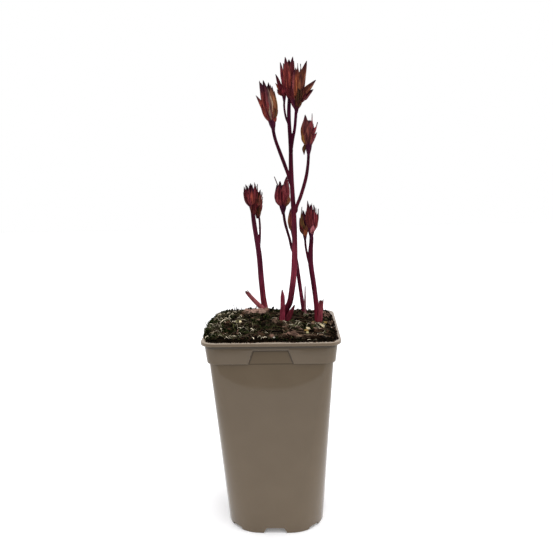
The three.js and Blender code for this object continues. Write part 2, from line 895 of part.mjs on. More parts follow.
const peony = new THREE.Group();
peony.add(meshOf('pot', potSolid(), potPlastic));
peony.add(meshOf('soil', soilSolid(), pottingSoil));
for (const name of Object.keys(stems)) peony.add(meshOf(name, stemSolid(name), stemSkin));
for (const name of Object.keys(heads)) peony.add(meshOf(name, headSolid(name), youngLeaf));
for (const name of Object.keys(scales)) peony.add(meshOf(name, scaleSolid(name), budScale));

export default peony;
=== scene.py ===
"""A potted garden peony in early spring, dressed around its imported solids.

Lengths are millimetres until a mesh is made. +Z is up and the front looks along -Y.
"""

import json
import math

import bmesh
import bpy
import numpy as np
from mathutils import Matrix, Vector, noise

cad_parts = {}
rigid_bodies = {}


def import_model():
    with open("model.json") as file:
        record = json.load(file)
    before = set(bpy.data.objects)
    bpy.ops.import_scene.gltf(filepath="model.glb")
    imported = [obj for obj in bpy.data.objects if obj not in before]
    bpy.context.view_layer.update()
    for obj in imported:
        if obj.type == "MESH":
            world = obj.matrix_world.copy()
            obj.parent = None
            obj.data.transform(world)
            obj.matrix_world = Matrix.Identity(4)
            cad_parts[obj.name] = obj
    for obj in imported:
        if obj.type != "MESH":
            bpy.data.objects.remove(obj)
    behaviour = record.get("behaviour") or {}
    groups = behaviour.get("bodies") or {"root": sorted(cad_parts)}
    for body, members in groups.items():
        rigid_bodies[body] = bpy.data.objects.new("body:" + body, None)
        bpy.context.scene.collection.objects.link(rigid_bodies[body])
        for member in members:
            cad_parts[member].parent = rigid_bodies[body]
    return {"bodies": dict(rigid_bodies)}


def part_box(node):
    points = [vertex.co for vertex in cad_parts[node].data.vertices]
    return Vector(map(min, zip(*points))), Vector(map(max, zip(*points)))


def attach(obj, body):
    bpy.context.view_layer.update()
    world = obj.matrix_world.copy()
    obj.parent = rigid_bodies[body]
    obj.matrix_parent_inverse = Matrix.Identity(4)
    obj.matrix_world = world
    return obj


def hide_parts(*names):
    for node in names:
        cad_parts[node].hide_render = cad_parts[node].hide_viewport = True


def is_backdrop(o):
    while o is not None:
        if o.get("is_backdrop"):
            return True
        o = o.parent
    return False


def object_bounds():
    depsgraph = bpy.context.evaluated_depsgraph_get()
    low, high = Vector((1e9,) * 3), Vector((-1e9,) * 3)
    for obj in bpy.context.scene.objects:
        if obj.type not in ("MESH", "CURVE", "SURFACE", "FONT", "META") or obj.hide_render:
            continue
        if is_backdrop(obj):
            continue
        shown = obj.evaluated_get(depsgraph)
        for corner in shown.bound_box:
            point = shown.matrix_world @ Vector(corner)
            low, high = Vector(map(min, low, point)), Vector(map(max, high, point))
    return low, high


MM = 0.001

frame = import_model()
cad_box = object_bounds()
root = next(iter(frame["bodies"]))


# Numbers and curves


def mix(a, b, share):
    """The value that lies that share of the way from a to b."""
    return a + (b - a) * share


def unit(vectors):
    """Vectors made one unit long."""
    vectors = np.asarray(vectors, float)
    return vectors / np.linalg.norm(vectors, axis=-1, keepdims=True)


def spline(route, count):
    """Points and directions spread along a centripetal Catmull-Rom curve through a route."""
    route = np.array(route, float)
    before = 2 * route[0] - route[1]
    after = 2 * route[-1] - route[-2]
    guides = np.vstack([before, route, after])
    place = np.linspace(0, len(route) - 1, count)
    span = np.minimum(place.astype(int), len(route) - 2)
    t = (place - span)[:, None]
    p0, p1, p2, p3 = (guides[span + i] for i in range(4))
    d0, d1, d2 = (
        np.linalg.norm(b - a, axis=1)[:, None] ** 0.5 for a, b in ((p0, p1), (p1, p2), (p2, p3))
    )
    m1 = ((p1 - p0) / d0 - (p2 - p0) / (d0 + d1) + (p2 - p1) / d1) * d1
    m2 = ((p2 - p1) / d1 - (p3 - p1) / (d1 + d2) + (p3 - p2) / d2) * d1
    points = (
        (2 * t**3 - 3 * t**2 + 1) * p1
        + (t**3 - 2 * t**2 + t) * m1
        + (3 * t**2 - 2 * t**3) * p2
        + (t**3 - t**2) * m2
    )
    return points, unit(np.gradient(points, axis=0))


def turned(points, angle):
    """Points turned about the vertical axis."""
    cosine, sine = math.cos(angle), math.sin(angle)
    return points @ np.array([[cosine, sine, 0], [-sine, cosine, 0], [0, 0, 1]])


def ring_faces(rings, sides, caps=True):
    """Faces of a skin over rings of points, with its two ends closed."""
    r, i = np.meshgrid(np.arange(rings - 1), np.arange(sides), indexing="ij")
    a = (r * sides + i).ravel()
    b = (r * sides + (i + 1) % sides).ravel()
    groups = [np.column_stack([a, b, b + sides, a + sides])]
    if caps:
        groups.append(np.arange(sides)[::-1][None])
        groups.append(((rings - 1) * sides + np.arange(sides))[None])
    return groups


def plate_faces(rows, columns):
    """Faces of a thin closed plate: an outer grid, then an inner one of the same size."""
    r, c = np.meshgrid(np.arange(rows - 1), np.arange(columns - 1), indexing="ij")
    a = (r * columns + c).ravel()
    outer = np.column_stack([a, a + 1, a + columns + 1, a + columns])
    inner = outer[:, ::-1] + rows * columns
    rim = np.concatenate(
        [
            np.arange(columns - 1),
            np.arange(columns - 1, rows * columns - 1, columns),
            np.arange(rows * columns - 1, (rows - 1) * columns, -1),
            np.arange((rows - 1) * columns, 0, -columns),
        ]
    )
    following = np.roll(rim, -1)
    shift = rows * columns
    edge = np.column_stack([following, rim, rim + shift, following + shift])
    return [outer, inner, edge]


# Pieces


class Piece:
    """Gathers points, faces and values per point, and becomes one object."""

    def __init__(self, name):
        self.name = name
        self.points = []
        self.faces = []
        self.values = {}
        self.count = 0

    def add(self, points, faces, **values):
        points = np.asarray(points, float).reshape(-1, 3)
        for group in faces:
            self.faces += (np.asarray(group) + self.count).tolist()
        for name, value in values.items():
            spread = np.broadcast_to(value, (len(points), 3))
            self.values.setdefault(name, []).append(spread)
        self.points.append(points)
        self.count += len(points)

    def mesh(self):
        mesh = bpy.data.meshes.new(self.name)
        mesh.from_pydata((np.vstack(self.points) * MM).tolist(), [], self.faces)
        for name, parts in self.values.items():
            layer = mesh.attributes.new(name, "FLOAT_VECTOR", "POINT")
            layer.data.foreach_set("vector", np.vstack(parts).astype(np.float32).ravel())
        return mesh

    def make(self, look, slot, *nodes, sharp=60):
        return settle(self.name, self.mesh(), look, nodes, sharp)


def face_outwards(mesh):
    """Turns every face of a mesh so that it looks outwards."""
    fix = bmesh.new()
    fix.from_mesh(mesh)
    bmesh.ops.recalc_face_normals(fix, faces=fix.faces)
    fix.to_mesh(mesh)
    fix.free()


def settle(name, mesh, look, nodes, sharp=60):
    """Makes a mesh a finished piece of the plant or its pot."""
    face_outwards(mesh)
    mesh.materials.clear()
    mesh.materials.append(look)
    mesh.shade_smooth()
    mesh.set_sharp_from_angle(angle=math.radians(sharp))
    piece = bpy.data.objects.new(name, mesh)
    bpy.context.scene.collection.objects.link(piece)
    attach(piece, root)
    if nodes:
        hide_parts(*nodes)
    return piece


def modified(name, mesh, *modifiers):
    """A mesh after modifiers, each given as its kind and its settings."""
    holder = bpy.data.objects.new(name, mesh)
    bpy.context.scene.collection.objects.link(holder)
    for kind, settings in modifiers:
        modifier = holder.modifiers.new(kind, kind)
        for key, value in settings.items():
            setattr(modifier, key, value)
    bpy.context.view_layer.update()
    graph = bpy.context.evaluated_depsgraph_get()
    result = bpy.data.meshes.new_from_object(holder.evaluated_get(graph))
    bpy.data.objects.remove(holder)
    result.name = name
    return result


# Looks


class Look:
    """A Principled material whose nodes are added one call at a time."""

    def __init__(self, name, **sockets):
        self.material = bpy.data.materials.new(name)
        self.material.use_nodes = True
        self.tree = self.material.node_tree
        self.shader = self.tree.nodes["Principled BSDF"]
        for key, value in sockets.items():
            self.shader.inputs[key.replace("_", " ")].default_value = value
        self.place = self.add("TexCoord").outputs["Object"]

    def add(self, kind, links=None, **options):
        node = self.tree.nodes.new("ShaderNode" + kind)
        for key, value in options.items():
            setattr(node, key, value)
        for key, value in (links or {}).items():
            if isinstance(value, bpy.types.NodeSocket):
                self.tree.links.new(value, node.inputs[key])
            else:
                node.inputs[key].default_value = value
        return node

    def use(self, socket, value):
        self.tree.links.new(value, self.shader.inputs[socket])

    def attribute(self, name):
        return self.add("Attribute", attribute_name=name).outputs["Vector"]

    def parts(self, vector):
        return self.add("SeparateXYZ", {"Vector": vector}).outputs

    def noise(self, size, detail=3.0, stretch=(1, 1, 1), roughness=0.5):
        """Noise with features of about that size in millimetres."""
        scale = tuple(factor / (size * MM) for factor in stretch)
        mapping = self.add("Mapping", {"Vector": self.place, "Scale": scale})
        links = {"Vector": mapping.outputs[0], "Scale": 1.0, "Detail": detail, "Roughness": roughness}
        return self.add("TexNoise", links).outputs["Fac"]

    def math(self, operation, a, b=0.0, clamp=False):
        return self.add("Math", {0: a, 1: b}, operation=operation, use_clamp=clamp).outputs[0]

    def span(self, value, low, high, to_low=0.0, to_high=1.0):
        links = {"Value": value, "From Min": low, "From Max": high, "To Min": to_low, "To Max": to_high}
        return self.add("MapRange", links).outputs["Result"]

    def ramp(self, value, *stops):
        node = self.add("ValToRGB", {"Fac": value})
        elements = node.color_ramp.elements
        while len(elements) < len(stops):
            elements.new(0.5)
        for element, (place, colour) in zip(elements, stops):
            element.position = place
            element.color = (*colour, 1)
        return node.outputs["Color"]

    def blend(self, share, a, b, kind="MIX"):
        def colour(value):
            return value if isinstance(value, bpy.types.NodeSocket) else (*value, 1)

        links = {0: share, 6: colour(a), 7: colour(b)}
        return self.add("Mix", links, data_type="RGBA", blend_type=kind).outputs[2]

    def bump(self, height, depth, strength=1.0):
        """A bump of that depth in millimetres, on top of the ones before it."""
        links = {"Height": height, "Distance": depth * MM, "Strength": strength}
        before = self.shader.inputs["Normal"].links
        if before:
            links["Normal"] = before[0].from_socket
        self.use("Normal", self.add("Bump", links).outputs["Normal"])


def crease(look, distance, width, share):
    """How much painted shade lies in a crease, by the distance from it: most at the crease itself."""
    out = look.math("ABSOLUTE", distance)
    return look.span(out, 0, width, share, 0)


# Colours of the pot's plastic, and those of its painted light on the lip, its painted highlight along the
# rim's top edge and its painted shade.
PLASTIC = ((0.3, (0.132, 0.099, 0.065)), (0.7, (0.141, 0.106, 0.07)))
PLASTIC_SCUFFED = (0.3, 0.24, 0.18)
# Painted light on the lip, and a painted highlight along the rim's top edge.
PLASTIC_LIP_LIT = (0.26, 0.2, 0.145)
PLASTIC_RIM_HIGHLIGHT = (0.36, 0.3, 0.24)
# The dark of the painted shade under the lip and the collar and in the creases round the panels.
PAINTED_SHADE = (0.02, 0.015, 0.01)


def shade_under_edges(look, base, z):
    """Painted shade below the lip and the collar, where they overhang the wall."""
    for edge, depth, share in SHADED_EDGES:
        above = look.span(z, edge, edge + 0.2, 1, 0)
        near = look.span(z, edge - depth, edge, 0, share)
        base = look.blend(look.math("MULTIPLY", above, near), base, PAINTED_SHADE)
    return base


def shade_round_panels(look, base, x, y, z):
    """Painted shade in the creases beside and above the panels that are let into the collar."""
    across = look.math("MINIMUM", look.math("ABSOLUTE", x), look.math("ABSOLUTE", y))
    side = look.span(z, COLLAR_FOOT_Z, PANEL_TOP_Z, PANEL_FOOT_HALF, PANEL_TOP_HALF)
    beside = crease(look, look.math("SUBTRACT", look.math("SUBTRACT", side, across), 0.5), 1.1, 0.6)
    below_top = look.span(z, PANEL_TOP_Z, PANEL_TOP_Z + 0.4, 1, 0)
    above_foot = look.span(z, COLLAR_FOOT_Z - 0.4, COLLAR_FOOT_Z, 0, 1)
    let_in = look.math("MULTIPLY", below_top, above_foot)
    base = look.blend(look.math("MULTIPLY", beside, let_in), base, PAINTED_SHADE)
    top = crease(look, look.math("SUBTRACT", z, PANEL_TOP_Z - 0.5), 1.4, 0.9)
    inside = look.span(look.math("SUBTRACT", across, PANEL_TOP_HALF), 0, 0.8, 1, 0)
    return look.blend(look.math("MULTIPLY", top, inside), base, PAINTED_SHADE)


def pot_look():
    """Smooth moulded plastic, faintly cloudy and scuffed, with painted light on the lip, a painted highlight
    along the rim's top edge, and painted shade under its edges and in its creases.
    """
    look = Look("pot_plastic", Specular_IOR_Level=0.23)
    x, y, z = (look.math("MULTIPLY", part, 1 / MM) for part in look.parts(look.place))
    cloud = look.noise(30, 3)
    scuffed = look.span(look.noise(5, 6, (1, 1, 0.35), 0.7), 0.66, 0.78, 0, 1)
    base = look.blend(look.math("MULTIPLY", scuffed, 0.12), look.ramp(cloud, *PLASTIC), PLASTIC_SCUFFED)
    # Painted light: the lip and all above it are paler, as where light from above falls on them.
    base = look.blend(look.span(z, COLLAR_TOP_Z, COLLAR_TOP_Z + 0.6, 0, 0.3), base, PLASTIC_LIP_LIT)
    # A painted highlight along the rim's top edge.
    base = look.blend(look.span(z, POT_HEIGHT - 0.9, POT_HEIGHT - 0.2, 0, 0.45), base, PLASTIC_RIM_HIGHLIGHT)
    # Painted shade under the lip and the collar, and in the creases round the panels.
    base = shade_under_edges(look, base, z)
    look.use("Base Color", shade_round_panels(look, base, x, y, z))
    haze = look.span(cloud, 0.3, 0.7, 0.055, 0.08)
    look.use("Roughness", look.math("ADD", haze, look.math("MULTIPLY", scuffed, 0.1)))
    look.bump(cloud, 0.03)
    return look.material


# The ground's tones by its grain, and the film that greens it in patches.
GROUND = ((0.3, (0.002, 0.001, 0.0005)), (0.58, (0.005, 0.003, 0.001)), (0.78, (0.03, 0.019, 0.009)))
GROUND_FILM = (0.008, 0.011, 0.003)


def soil_look():
    """Dark peaty ground with a greenish film in patches."""
    look = Look("soil_ground", Roughness=0.95, Specular_IOR_Level=0.02)
    grain = look.noise(1.1, 6, roughness=0.7)
    patch = look.noise(14, 3)
    film = look.span(patch, 0.5, 0.7, 0, 0.5)
    look.use("Base Color", look.blend(film, look.ramp(grain, *GROUND), GROUND_FILM))
    look.bump(grain, 0.9)
    return look.material


# What streaks and blotches multiply a bit's own tone by, from the darkest to the lightest.
LITTER_STREAKS = ((0.3, (0.18, 0.15, 0.13)), (0.5, (0.78, 0.76, 0.74)), (0.72, (1.7, 1.65, 1.55)))
STEM_STREAKS = ((0.3, (0.45, 0.4, 0.5)), (0.52, (1, 1, 1)), (0.75, (1.6, 1.5, 1.4)))
LEAF_STREAKS = ((0.32, (0.5, 0.42, 0.44)), (0.5, (1, 1, 1)), (0.68, (1.6, 1.75, 1.6)))
# What a leaflet's two halves multiply its tone by: painted shade on one half, painted light on the other.
LEAF_LIT_AND_SHADED_HALVES = ((0.6, 0.5, 0.6), (1.3, 1.35, 1.25))
SCALE_BLOTCHES = ((0.3, (0.55, 0.45, 0.5)), (0.5, (1, 1, 1)), (0.72, (1.4, 1.6, 1.6)))


def litter_look(name, roughness, depth, stretch, size):
    """What lies on the soil: a tone of its own on each bit, with streaks and a rough skin."""
    look = Look(name, Roughness=roughness, Specular_IOR_Level=0.03)
    streak = look.noise(size, 5, stretch, 0.65)
    tone = look.attribute("tone")
    look.use("Base Color", look.blend(1.0, tone, look.ramp(streak, *LITTER_STREAKS), "MULTIPLY"))
    look.bump(streak, depth)
    return look.material


STEM_SHADE = (0.026, 0.003, 0.011)
STEM_FLECK = (0.25, 0.07, 0.08)


def stem_look(name, tones):
    """Smooth skin whose colour changes up the stem, with fine streaks and pale flecks."""
    look = Look(name, Roughness=0.5, Specular_IOR_Level=0.03)
    height = look.parts(look.place)["Z"]
    streak = look.noise(1.9, 4, (1, 1, 0.1))
    fleck = look.noise(0.8, 2)
    cloud = look.noise(11, 2, (1, 1, 0.4))
    low, high = tones[0][0], tones[-1][0]
    stops = [((z - low) / (high - low), tone) for z, tone in tones]
    skin = look.ramp(look.span(height, low * MM, high * MM), *stops)
    streaked = look.blend(1.0, skin, look.ramp(streak, *STEM_STREAKS), "MULTIPLY")
    shaded = look.blend(look.span(cloud, 0.4, 0.7, 0, 0.45), streaked, STEM_SHADE)
    look.use("Base Color", look.blend(look.span(fleck, 0.68, 0.8, 0, 0.2), shaded, STEM_FLECK))
    look.bump(streak, 0.12)
    look.bump(fleck, 0.03)
    return look.material


LEAF_BLOTCH = (0.035, 0.004, 0.012)
# Painted highlight along a leaflet's midrib.
LEAF_RIB_HIGHLIGHT = (0.3, 0.06, 0.05)
LEAF_EDGES = ((0.045, 0.005, 0.016), (0.34, 0.12, 0.05))
LEAF_TIP = (0.03, 0.006, 0.016)
# Painted shade at a leaflet's foot, deep inside its head.
LEAF_FOOT_SHADE = (0.055, 0.005, 0.022)


def leaf_look():
    """Thin young leaf: its own tone, painted shade on one half and painted light on the other, a painted
    highlight on its midrib, long creases, a tint at edge and tip, and painted shade at its foot.
    """
    look = Look("young_leaf", Roughness=0.55, Specular_IOR_Level=0.05)
    across, along, chance = look.parts(look.attribute("blade"))
    side = look.math("ABSOLUTE", across)
    tone = look.attribute("tone")
    streak = look.noise(1.6, 3, (1, 1, 0.14), 0.5)
    mottle = look.noise(3.0, 3, (1, 1, 0.5), 0.5)
    body = look.blend(1.0, tone, look.ramp(streak, *LEAF_STREAKS), "MULTIPLY")
    # Painted light and shade: one half of the fold is darker and the other lighter, as if lit from one side.
    way = look.span(chance, 0.45, 0.55, -1, 1)
    half = look.span(look.math("MULTIPLY", across, way), -0.12, 0.12)
    body = look.blend(1.0, body, look.blend(half, *LEAF_LIT_AND_SHADED_HALVES), "MULTIPLY")
    body = look.blend(look.span(mottle, 0.5, 0.75, 0, 0.4), body, LEAF_BLOTCH)
    # A painted highlight along the midrib, where the keel of the fold would catch the light.
    body = look.blend(look.span(side, 0.0, 0.14, 0.45, 0.0), body, LEAF_RIB_HIGHLIGHT)
    body = look.blend(look.span(side, 0.8, 1.0, 0.0, 0.5), body, look.blend(chance, *LEAF_EDGES))
    body = look.blend(look.span(along, 0.74, 0.95, 0.0, 0.88), body, LEAF_TIP)
    # Painted shade at each leaflet's foot, deep inside its head.
    look.use("Base Color", look.blend(look.span(along, 0.0, 0.3, 0.85, 0.0), body, LEAF_FOOT_SHADE))
    look.bump(streak, 0.25)
    look.bump(mottle, 0.12)
    return look.material


SCALE_LINE = (0.12, 0.008, 0.025)
SCALE_FOOT = (0.16, 0.01, 0.025)
SCALE_TORN = (0.06, 0.025, 0.02)


def scale_look():
    """Papery sheath: streaked along its length, paler in blotches and brown where it is torn."""
    look = Look("bud_scale", Roughness=0.5, Specular_IOR_Level=0.16)
    across, along, _ = look.parts(look.attribute("blade"))
    tone = look.attribute("tone")
    streak = look.math("SINE", look.math("MULTIPLY", across, 26.0))
    mottle = look.noise(2.0, 4, (1, 1, 0.3))
    body = look.blend(1.0, tone, look.ramp(mottle, *SCALE_BLOTCHES), "MULTIPLY")
    body = look.blend(look.span(streak, 0.3, 1.0, 0, 0.3), body, SCALE_LINE)
    body = look.blend(look.span(along, 0.0, 0.25, 0.6, 0.0), body, SCALE_FOOT)
    look.use("Base Color", look.blend(look.span(along, 0.88, 1.0, 0, 0.75), body, SCALE_TORN))
    look.bump(streak, 0.1)
    look.bump(mottle, 0.15)
    return look.material


# The pot

POT_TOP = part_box("pot")[1] / MM
LIP_HALF = POT_TOP.x
POT_HEIGHT = POT_TOP.z
LIP_CORNER = 14
LIP_CENTRE = LIP_HALF - LIP_CORNER
LIP_DEPTH = 3.5
LIP_TOP_EDGE = 0.9
LIP_UNDER_EDGE = 0.5
RIM_RADIUS = 0.8
COLLAR_TOP_HALF = 66.8
COLLAR_TOP_CORNER = 11.5
COLLAR_FOOT_HALF = 64.7
COLLAR_FOOT_CORNER = 10.8
COLLAR_FOOT_Z = 192
COLLAR_TOP_Z = POT_HEIGHT - LIP_DEPTH
BODY_TOP_HALF = 62.6
BODY_TOP_CORNER = 9.5
FOOT_HALF = 52.4
FOOT_CORNER = 37
FOOT_EDGE = 1.0
FOOT_RING = 2.4
WALL = 1.5
FLOOR_Z = 6.5
FOOT_INNER_EDGE = 0.3
FLOOR_EDGE = 0.8
# How far a side bows out at half its height.
BULGE = 1.6
PANEL_TOP_Z = 206.2
PANEL_TOP_HALF = 17.2
PANEL_FOOT_HALF = 22.4
CORNER_STEPS = 12
ARC_STEPS = 4
# Heights of the plain rows up the collar beside and above its panels, and down inside it.
PANEL_ROWS = (194, 197, 200, 203, 204.8)
ABOVE_PANEL_ROWS = (208.5, 210.6)
INSIDE_TOP_ROWS = (212, 209)
INSIDE_PANEL_ROWS = (204, 199)
FLAT_SHARES = (0.04, 0.35, 0.7, 0.95)
SMALLEST_CORNER = 0.4
# Where painted shade falls below an edge: the edge's height, how far down it reaches, and its share.
SHADED_EDGES = ((COLLAR_TOP_Z, 4.2, 1.0), (COLLAR_TOP_Z, 12, 0.15), (COLLAR_FOOT_Z, 1.6, 0.6))
# A rounded step, as distance across it and share of its depth.
STEP = (
    (-0.9, 0), (-0.45, 0.03), (-0.2, 0.12), (-0.06, 0.35), (0.06, 0.65), (0.2, 0.88), (0.45, 0.97), (0.9, 1)
)
# Columns along one side's straight stretch, as shares of its half: inside the panel and beside it.
PANEL_COLUMNS = (-0.2, 0, 0.2)
SIDE_COLUMNS = (0.56, 0.7, 0.86)
# Notches in the foot ring: half width below the foot and at the top, height, and nearest depth.
SIDE_NOTCH = (15.2, 9.3, 6.2, 40)
CORNER_NOTCH = (7.4, 7, 3.5, 48)
NOTCH_BELOW = 4
NOTCH_EDGE = 1.1
DRAIN_RADIUS = 5
DRAIN_SPACING = 24
DRAIN_SIDES = 24
DRAIN_HEIGHTS = (3, 11)


def body_half(z):
    return mix(FOOT_HALF, BODY_TOP_HALF, z / COLLAR_FOOT_Z)


def body_corner(z):
    return mix(FOOT_CORNER, BODY_TOP_CORNER, z / COLLAR_FOOT_Z)


def collar_half(z):
    return mix(COLLAR_FOOT_HALF, COLLAR_TOP_HALF, (z - COLLAR_FOOT_Z) / (COLLAR_TOP_Z - COLLAR_FOOT_Z))


def collar_corner(z):
    return mix(COLLAR_FOOT_CORNER, COLLAR_TOP_CORNER, (z - COLLAR_FOOT_Z) / (COLLAR_TOP_Z - COLLAR_FOOT_Z))


def pot_ring(z, half, corner, panel=0.0, inset=0.0):
    """One row of points round the pot. panel is how far its panels are let in, from 0 to 1."""
    centre = half - corner
    spread = centre / (BODY_TOP_HALF - BODY_TOP_CORNER)
    edge = np.interp(z, [COLLAR_FOOT_Z, PANEL_TOP_Z], [PANEL_FOOT_HALF, PANEL_TOP_HALF]) + inset
    outer = [share * centre for share in SIDE_COLUMNS]
    steps = [((edge + offset) * spread, 1 - share) for offset, share in STEP]
    right = [*steps, *((x, 0.0) for x in outer)]
    left = [(-x, sunk) for x, sunk in reversed(right)]
    columns = [(-centre, 0.0), *left, *((share * centre, 1.0) for share in PANEL_COLUMNS), *right]
    bulge = BULGE * math.sin(math.pi * min(max(z / COLLAR_FOOT_Z, 0), 1))
    side = []
    for x, sunk in columns:
        depth = (half - body_half(z) + inset) * panel * sunk
        side.append((x, -(half - depth + bulge * (1 - abs(x / max(centre, 1)) ** 3)), z))
    for step in range(CORNER_STEPS):
        angle = step / CORNER_STEPS * math.pi / 2
        side.append((centre + corner * math.sin(angle), -centre - corner * math.cos(angle), z))
    side = np.array(side)
    return np.vstack([turned(side, quarter * math.pi / 2) for quarter in range(4)])


def quarter_arc(low=0, high=1):
    """Sines and cosines along an arc whose ends are given in quarter turns."""
    angles = [mix(low, high, step / ARC_STEPS) * math.pi / 2 for step in range(ARC_STEPS + 1)]
    return [(math.sin(angle), math.cos(angle)) for angle in angles]


def flat_rows(z, half, corner):
    """A flat floor, from its middle out."""
    return [(z, half * share, corner * share) for share in FLAT_SHARES]


def foot_rows():
    """From the middle of the underside out, down inside the foot ring and round its outer edge."""
    half, corner = FOOT_HALF - FOOT_RING, FOOT_CORNER - FOOT_RING
    rows = flat_rows(FLOOR_Z, half, corner)
    rows += [(z, half, corner) for z in (FLOOR_Z, FLOOR_Z - FLOOR_EDGE, FOOT_INNER_EDGE)]
    rows.append((0, half + FOOT_INNER_EDGE, corner + FOOT_INNER_EDGE))
    for sine, cosine in quarter_arc():
        inward = FOOT_EDGE * (1 - sine)
        z = FOOT_EDGE * (1 - cosine)
        rows.append((z, body_half(z) - inward, body_corner(z) - inward))
    return rows


def wall_rows():
    """Up the body, out over the collar's step, and up the collar past its panels."""
    rows = [(z, body_half(z), body_corner(z)) for z in np.linspace(3, COLLAR_FOOT_Z - 1.2, 34)]
    for offset, share in STEP:
        z = COLLAR_FOOT_Z + 0.6 * offset
        half = mix(body_half(z), collar_half(z), share)
        rows.append((z, half, mix(body_corner(z), collar_corner(z), share), 1))
    levels = [(z, 1) for z in PANEL_ROWS]
    levels += [(PANEL_TOP_Z + offset, 1 - share) for offset, share in STEP]
    levels += [(z, 0) for z in ABOVE_PANEL_ROWS]
    return rows + [(z, collar_half(z), collar_corner(z), panel) for z, panel in levels]


def lip_rows():
    """Out under the lip, round its two outer edges, and over the rim."""
    rows = [
        (COLLAR_TOP_Z - 0.25, COLLAR_TOP_HALF + 0.1, COLLAR_TOP_CORNER + 0.1),
        (COLLAR_TOP_Z, COLLAR_TOP_HALF + 0.6, COLLAR_TOP_CORNER + 0.6),
    ]
    under = (COLLAR_TOP_Z + LIP_UNDER_EDGE, LIP_UNDER_EDGE, quarter_arc(-1, 0))
    over = (POT_HEIGHT - LIP_TOP_EDGE, LIP_TOP_EDGE, quarter_arc(0, 1))
    for middle, radius, arc in (under, over):
        for sine, cosine in arc:
            half = LIP_HALF - radius * (1 - cosine)
            rows.append((middle + radius * sine, half, half - LIP_CENTRE))
    for sine, cosine in quarter_arc():
        half = COLLAR_TOP_HALF - WALL + RIM_RADIUS * (1 - sine)
        rows.append((POT_HEIGHT - RIM_RADIUS * (1 - cosine), half, half - LIP_CENTRE))
    return rows


def inside_rows():
    """Down inside the collar and the body, and in over the floor."""
    levels = [(z, 0) for z in INSIDE_TOP_ROWS]
    levels += [(PANEL_TOP_Z + WALL + offset, 1 - share) for offset, share in reversed(STEP)]
    levels += [(z, 1) for z in (*INSIDE_PANEL_ROWS, COLLAR_FOOT_Z + WALL + 0.4)]
    rows = [(z, collar_half(z) - WALL, collar_corner(z) - WALL, panel, WALL) for z, panel in levels]
    for z in np.linspace(COLLAR_FOOT_Z + WALL - 0.4, FLOOR_Z + WALL, 12):
        rows.append((z, body_half(z) - WALL, body_corner(z) - WALL, 0, WALL))
    floor = flat_rows(FLOOR_Z + WALL, body_half(FLOOR_Z) - WALL, body_corner(FLOOR_Z) - WALL)
    return rows + floor[::-1]


def pot_rings():
    """Every row, from the middle of the underside out, up and over the lip, and down inside."""
    rows = [*foot_rows(), *wall_rows(), *lip_rows(), *inside_rows()]
    return [pot_ring(z, half, max(corner, SMALLEST_CORNER), *more) for z, half, corner, *more in rows]


def prism(outline, near, far, angle):
    """A prism that stands on one side of the pot, from an outline seen square on."""
    points = [(x, -depth, z) for depth in (near, far) for x, z in outline]
    return turned(np.array(points, float), angle), ring_faces(2, len(outline))


def rounded(outline, radius, steps=4):
    """An outline with its corners turned to arcs."""
    outline = [Vector(p) for p in outline]
    result = []
    for before, corner, after in zip(outline[-1:] + outline, outline, outline[1:] + outline[:1]):
        start = corner + (before - corner).normalized() * radius
        end = corner + (after - corner).normalized() * radius
        for step in range(steps + 1):
            share = step / steps
            left = 1 - share
            result.append(tuple(start * left**2 + corner * 2 * share * left + end * share**2))
    return result


def notch(foot_half, top_half, height):
    """A notch's outline, from below the foot up."""
    low = [(-foot_half, -NOTCH_BELOW), (foot_half, -NOTCH_BELOW)]
    return rounded([*low, (top_half, height), (-top_half, height)], NOTCH_EDGE)


def pot_cuts():
    """Drain notches in the foot ring and drain holes in the floor."""
    cuts = Piece("pot_cuts")
    for quarter in range(4):
        angle = quarter * math.pi / 2
        for (*outline, near), turn in ((SIDE_NOTCH, angle), (CORNER_NOTCH, angle + math.pi / 4)):
            cuts.add(*prism(notch(*outline), near, LIP_HALF, turn))
    angle = np.linspace(0, 2 * math.pi, DRAIN_SIDES, endpoint=False)
    circle = DRAIN_RADIUS * np.column_stack([np.cos(angle), np.sin(angle)])
    for x, y in ((0, 0), (-1, -1), (-1, 1), (1, -1), (1, 1)):
        middle = np.array([x, y]) * DRAIN_SPACING
        rings = [np.column_stack([middle + circle, np.full(DRAIN_SIDES, z)]) for z in DRAIN_HEIGHTS]
        cuts.add(np.concatenate(rings), ring_faces(2, DRAIN_SIDES))
    return cuts.mesh()


def make_pot():
    """The pot, with its notches and drain holes cut out."""
    shell = Piece("pot")
    rings = pot_rings()
    shell.add(np.vstack(rings), ring_faces(len(rings), len(rings[0])))
    cutter = bpy.data.objects.new("pot_cutter", pot_cuts())
    bpy.context.scene.collection.objects.link(cutter)
    face_outwards(cutter.data)
    cut = ("BOOLEAN", {"operation": "DIFFERENCE", "solver": "EXACT", "object": cutter})
    mesh = modified("pot_shell", shell.mesh(), cut)
    bpy.data.objects.remove(cutter)
    settle("pot_shell", mesh, pot_look(), ["pot"], sharp=48)


# The soil

SOIL_GAP = 0.6
SOIL_HALF = COLLAR_TOP_HALF - WALL - SOIL_GAP
SOIL_CORNER = COLLAR_TOP_CORNER - WALL - SOIL_GAP
SOIL_LEVEL = 212.5
SOIL_SLOPE = 0.01
# Mounds and a dip of the surface: x, y, spread and height.
CROWN = (-5, 22, 42, 8)
DIP = (9, 54, 10, 3)
MOSS_MOUND = (-58, -8, 22, 5.5)
# Towards the walls the soil rises: from where, over what distance, and how far up.
RISE_FROM = 42
RISE_OVER = 20
EDGE_RISE = 2.8
BACK_RISE = 1.4
LUMP_HEIGHT = 0.7
# The ground's roughness, as the height and the fineness of its folds and of its grain.
GROUND_FOLDS = (1.5, 0.22)
GROUND_GRAIN = (0.7, 0.9)
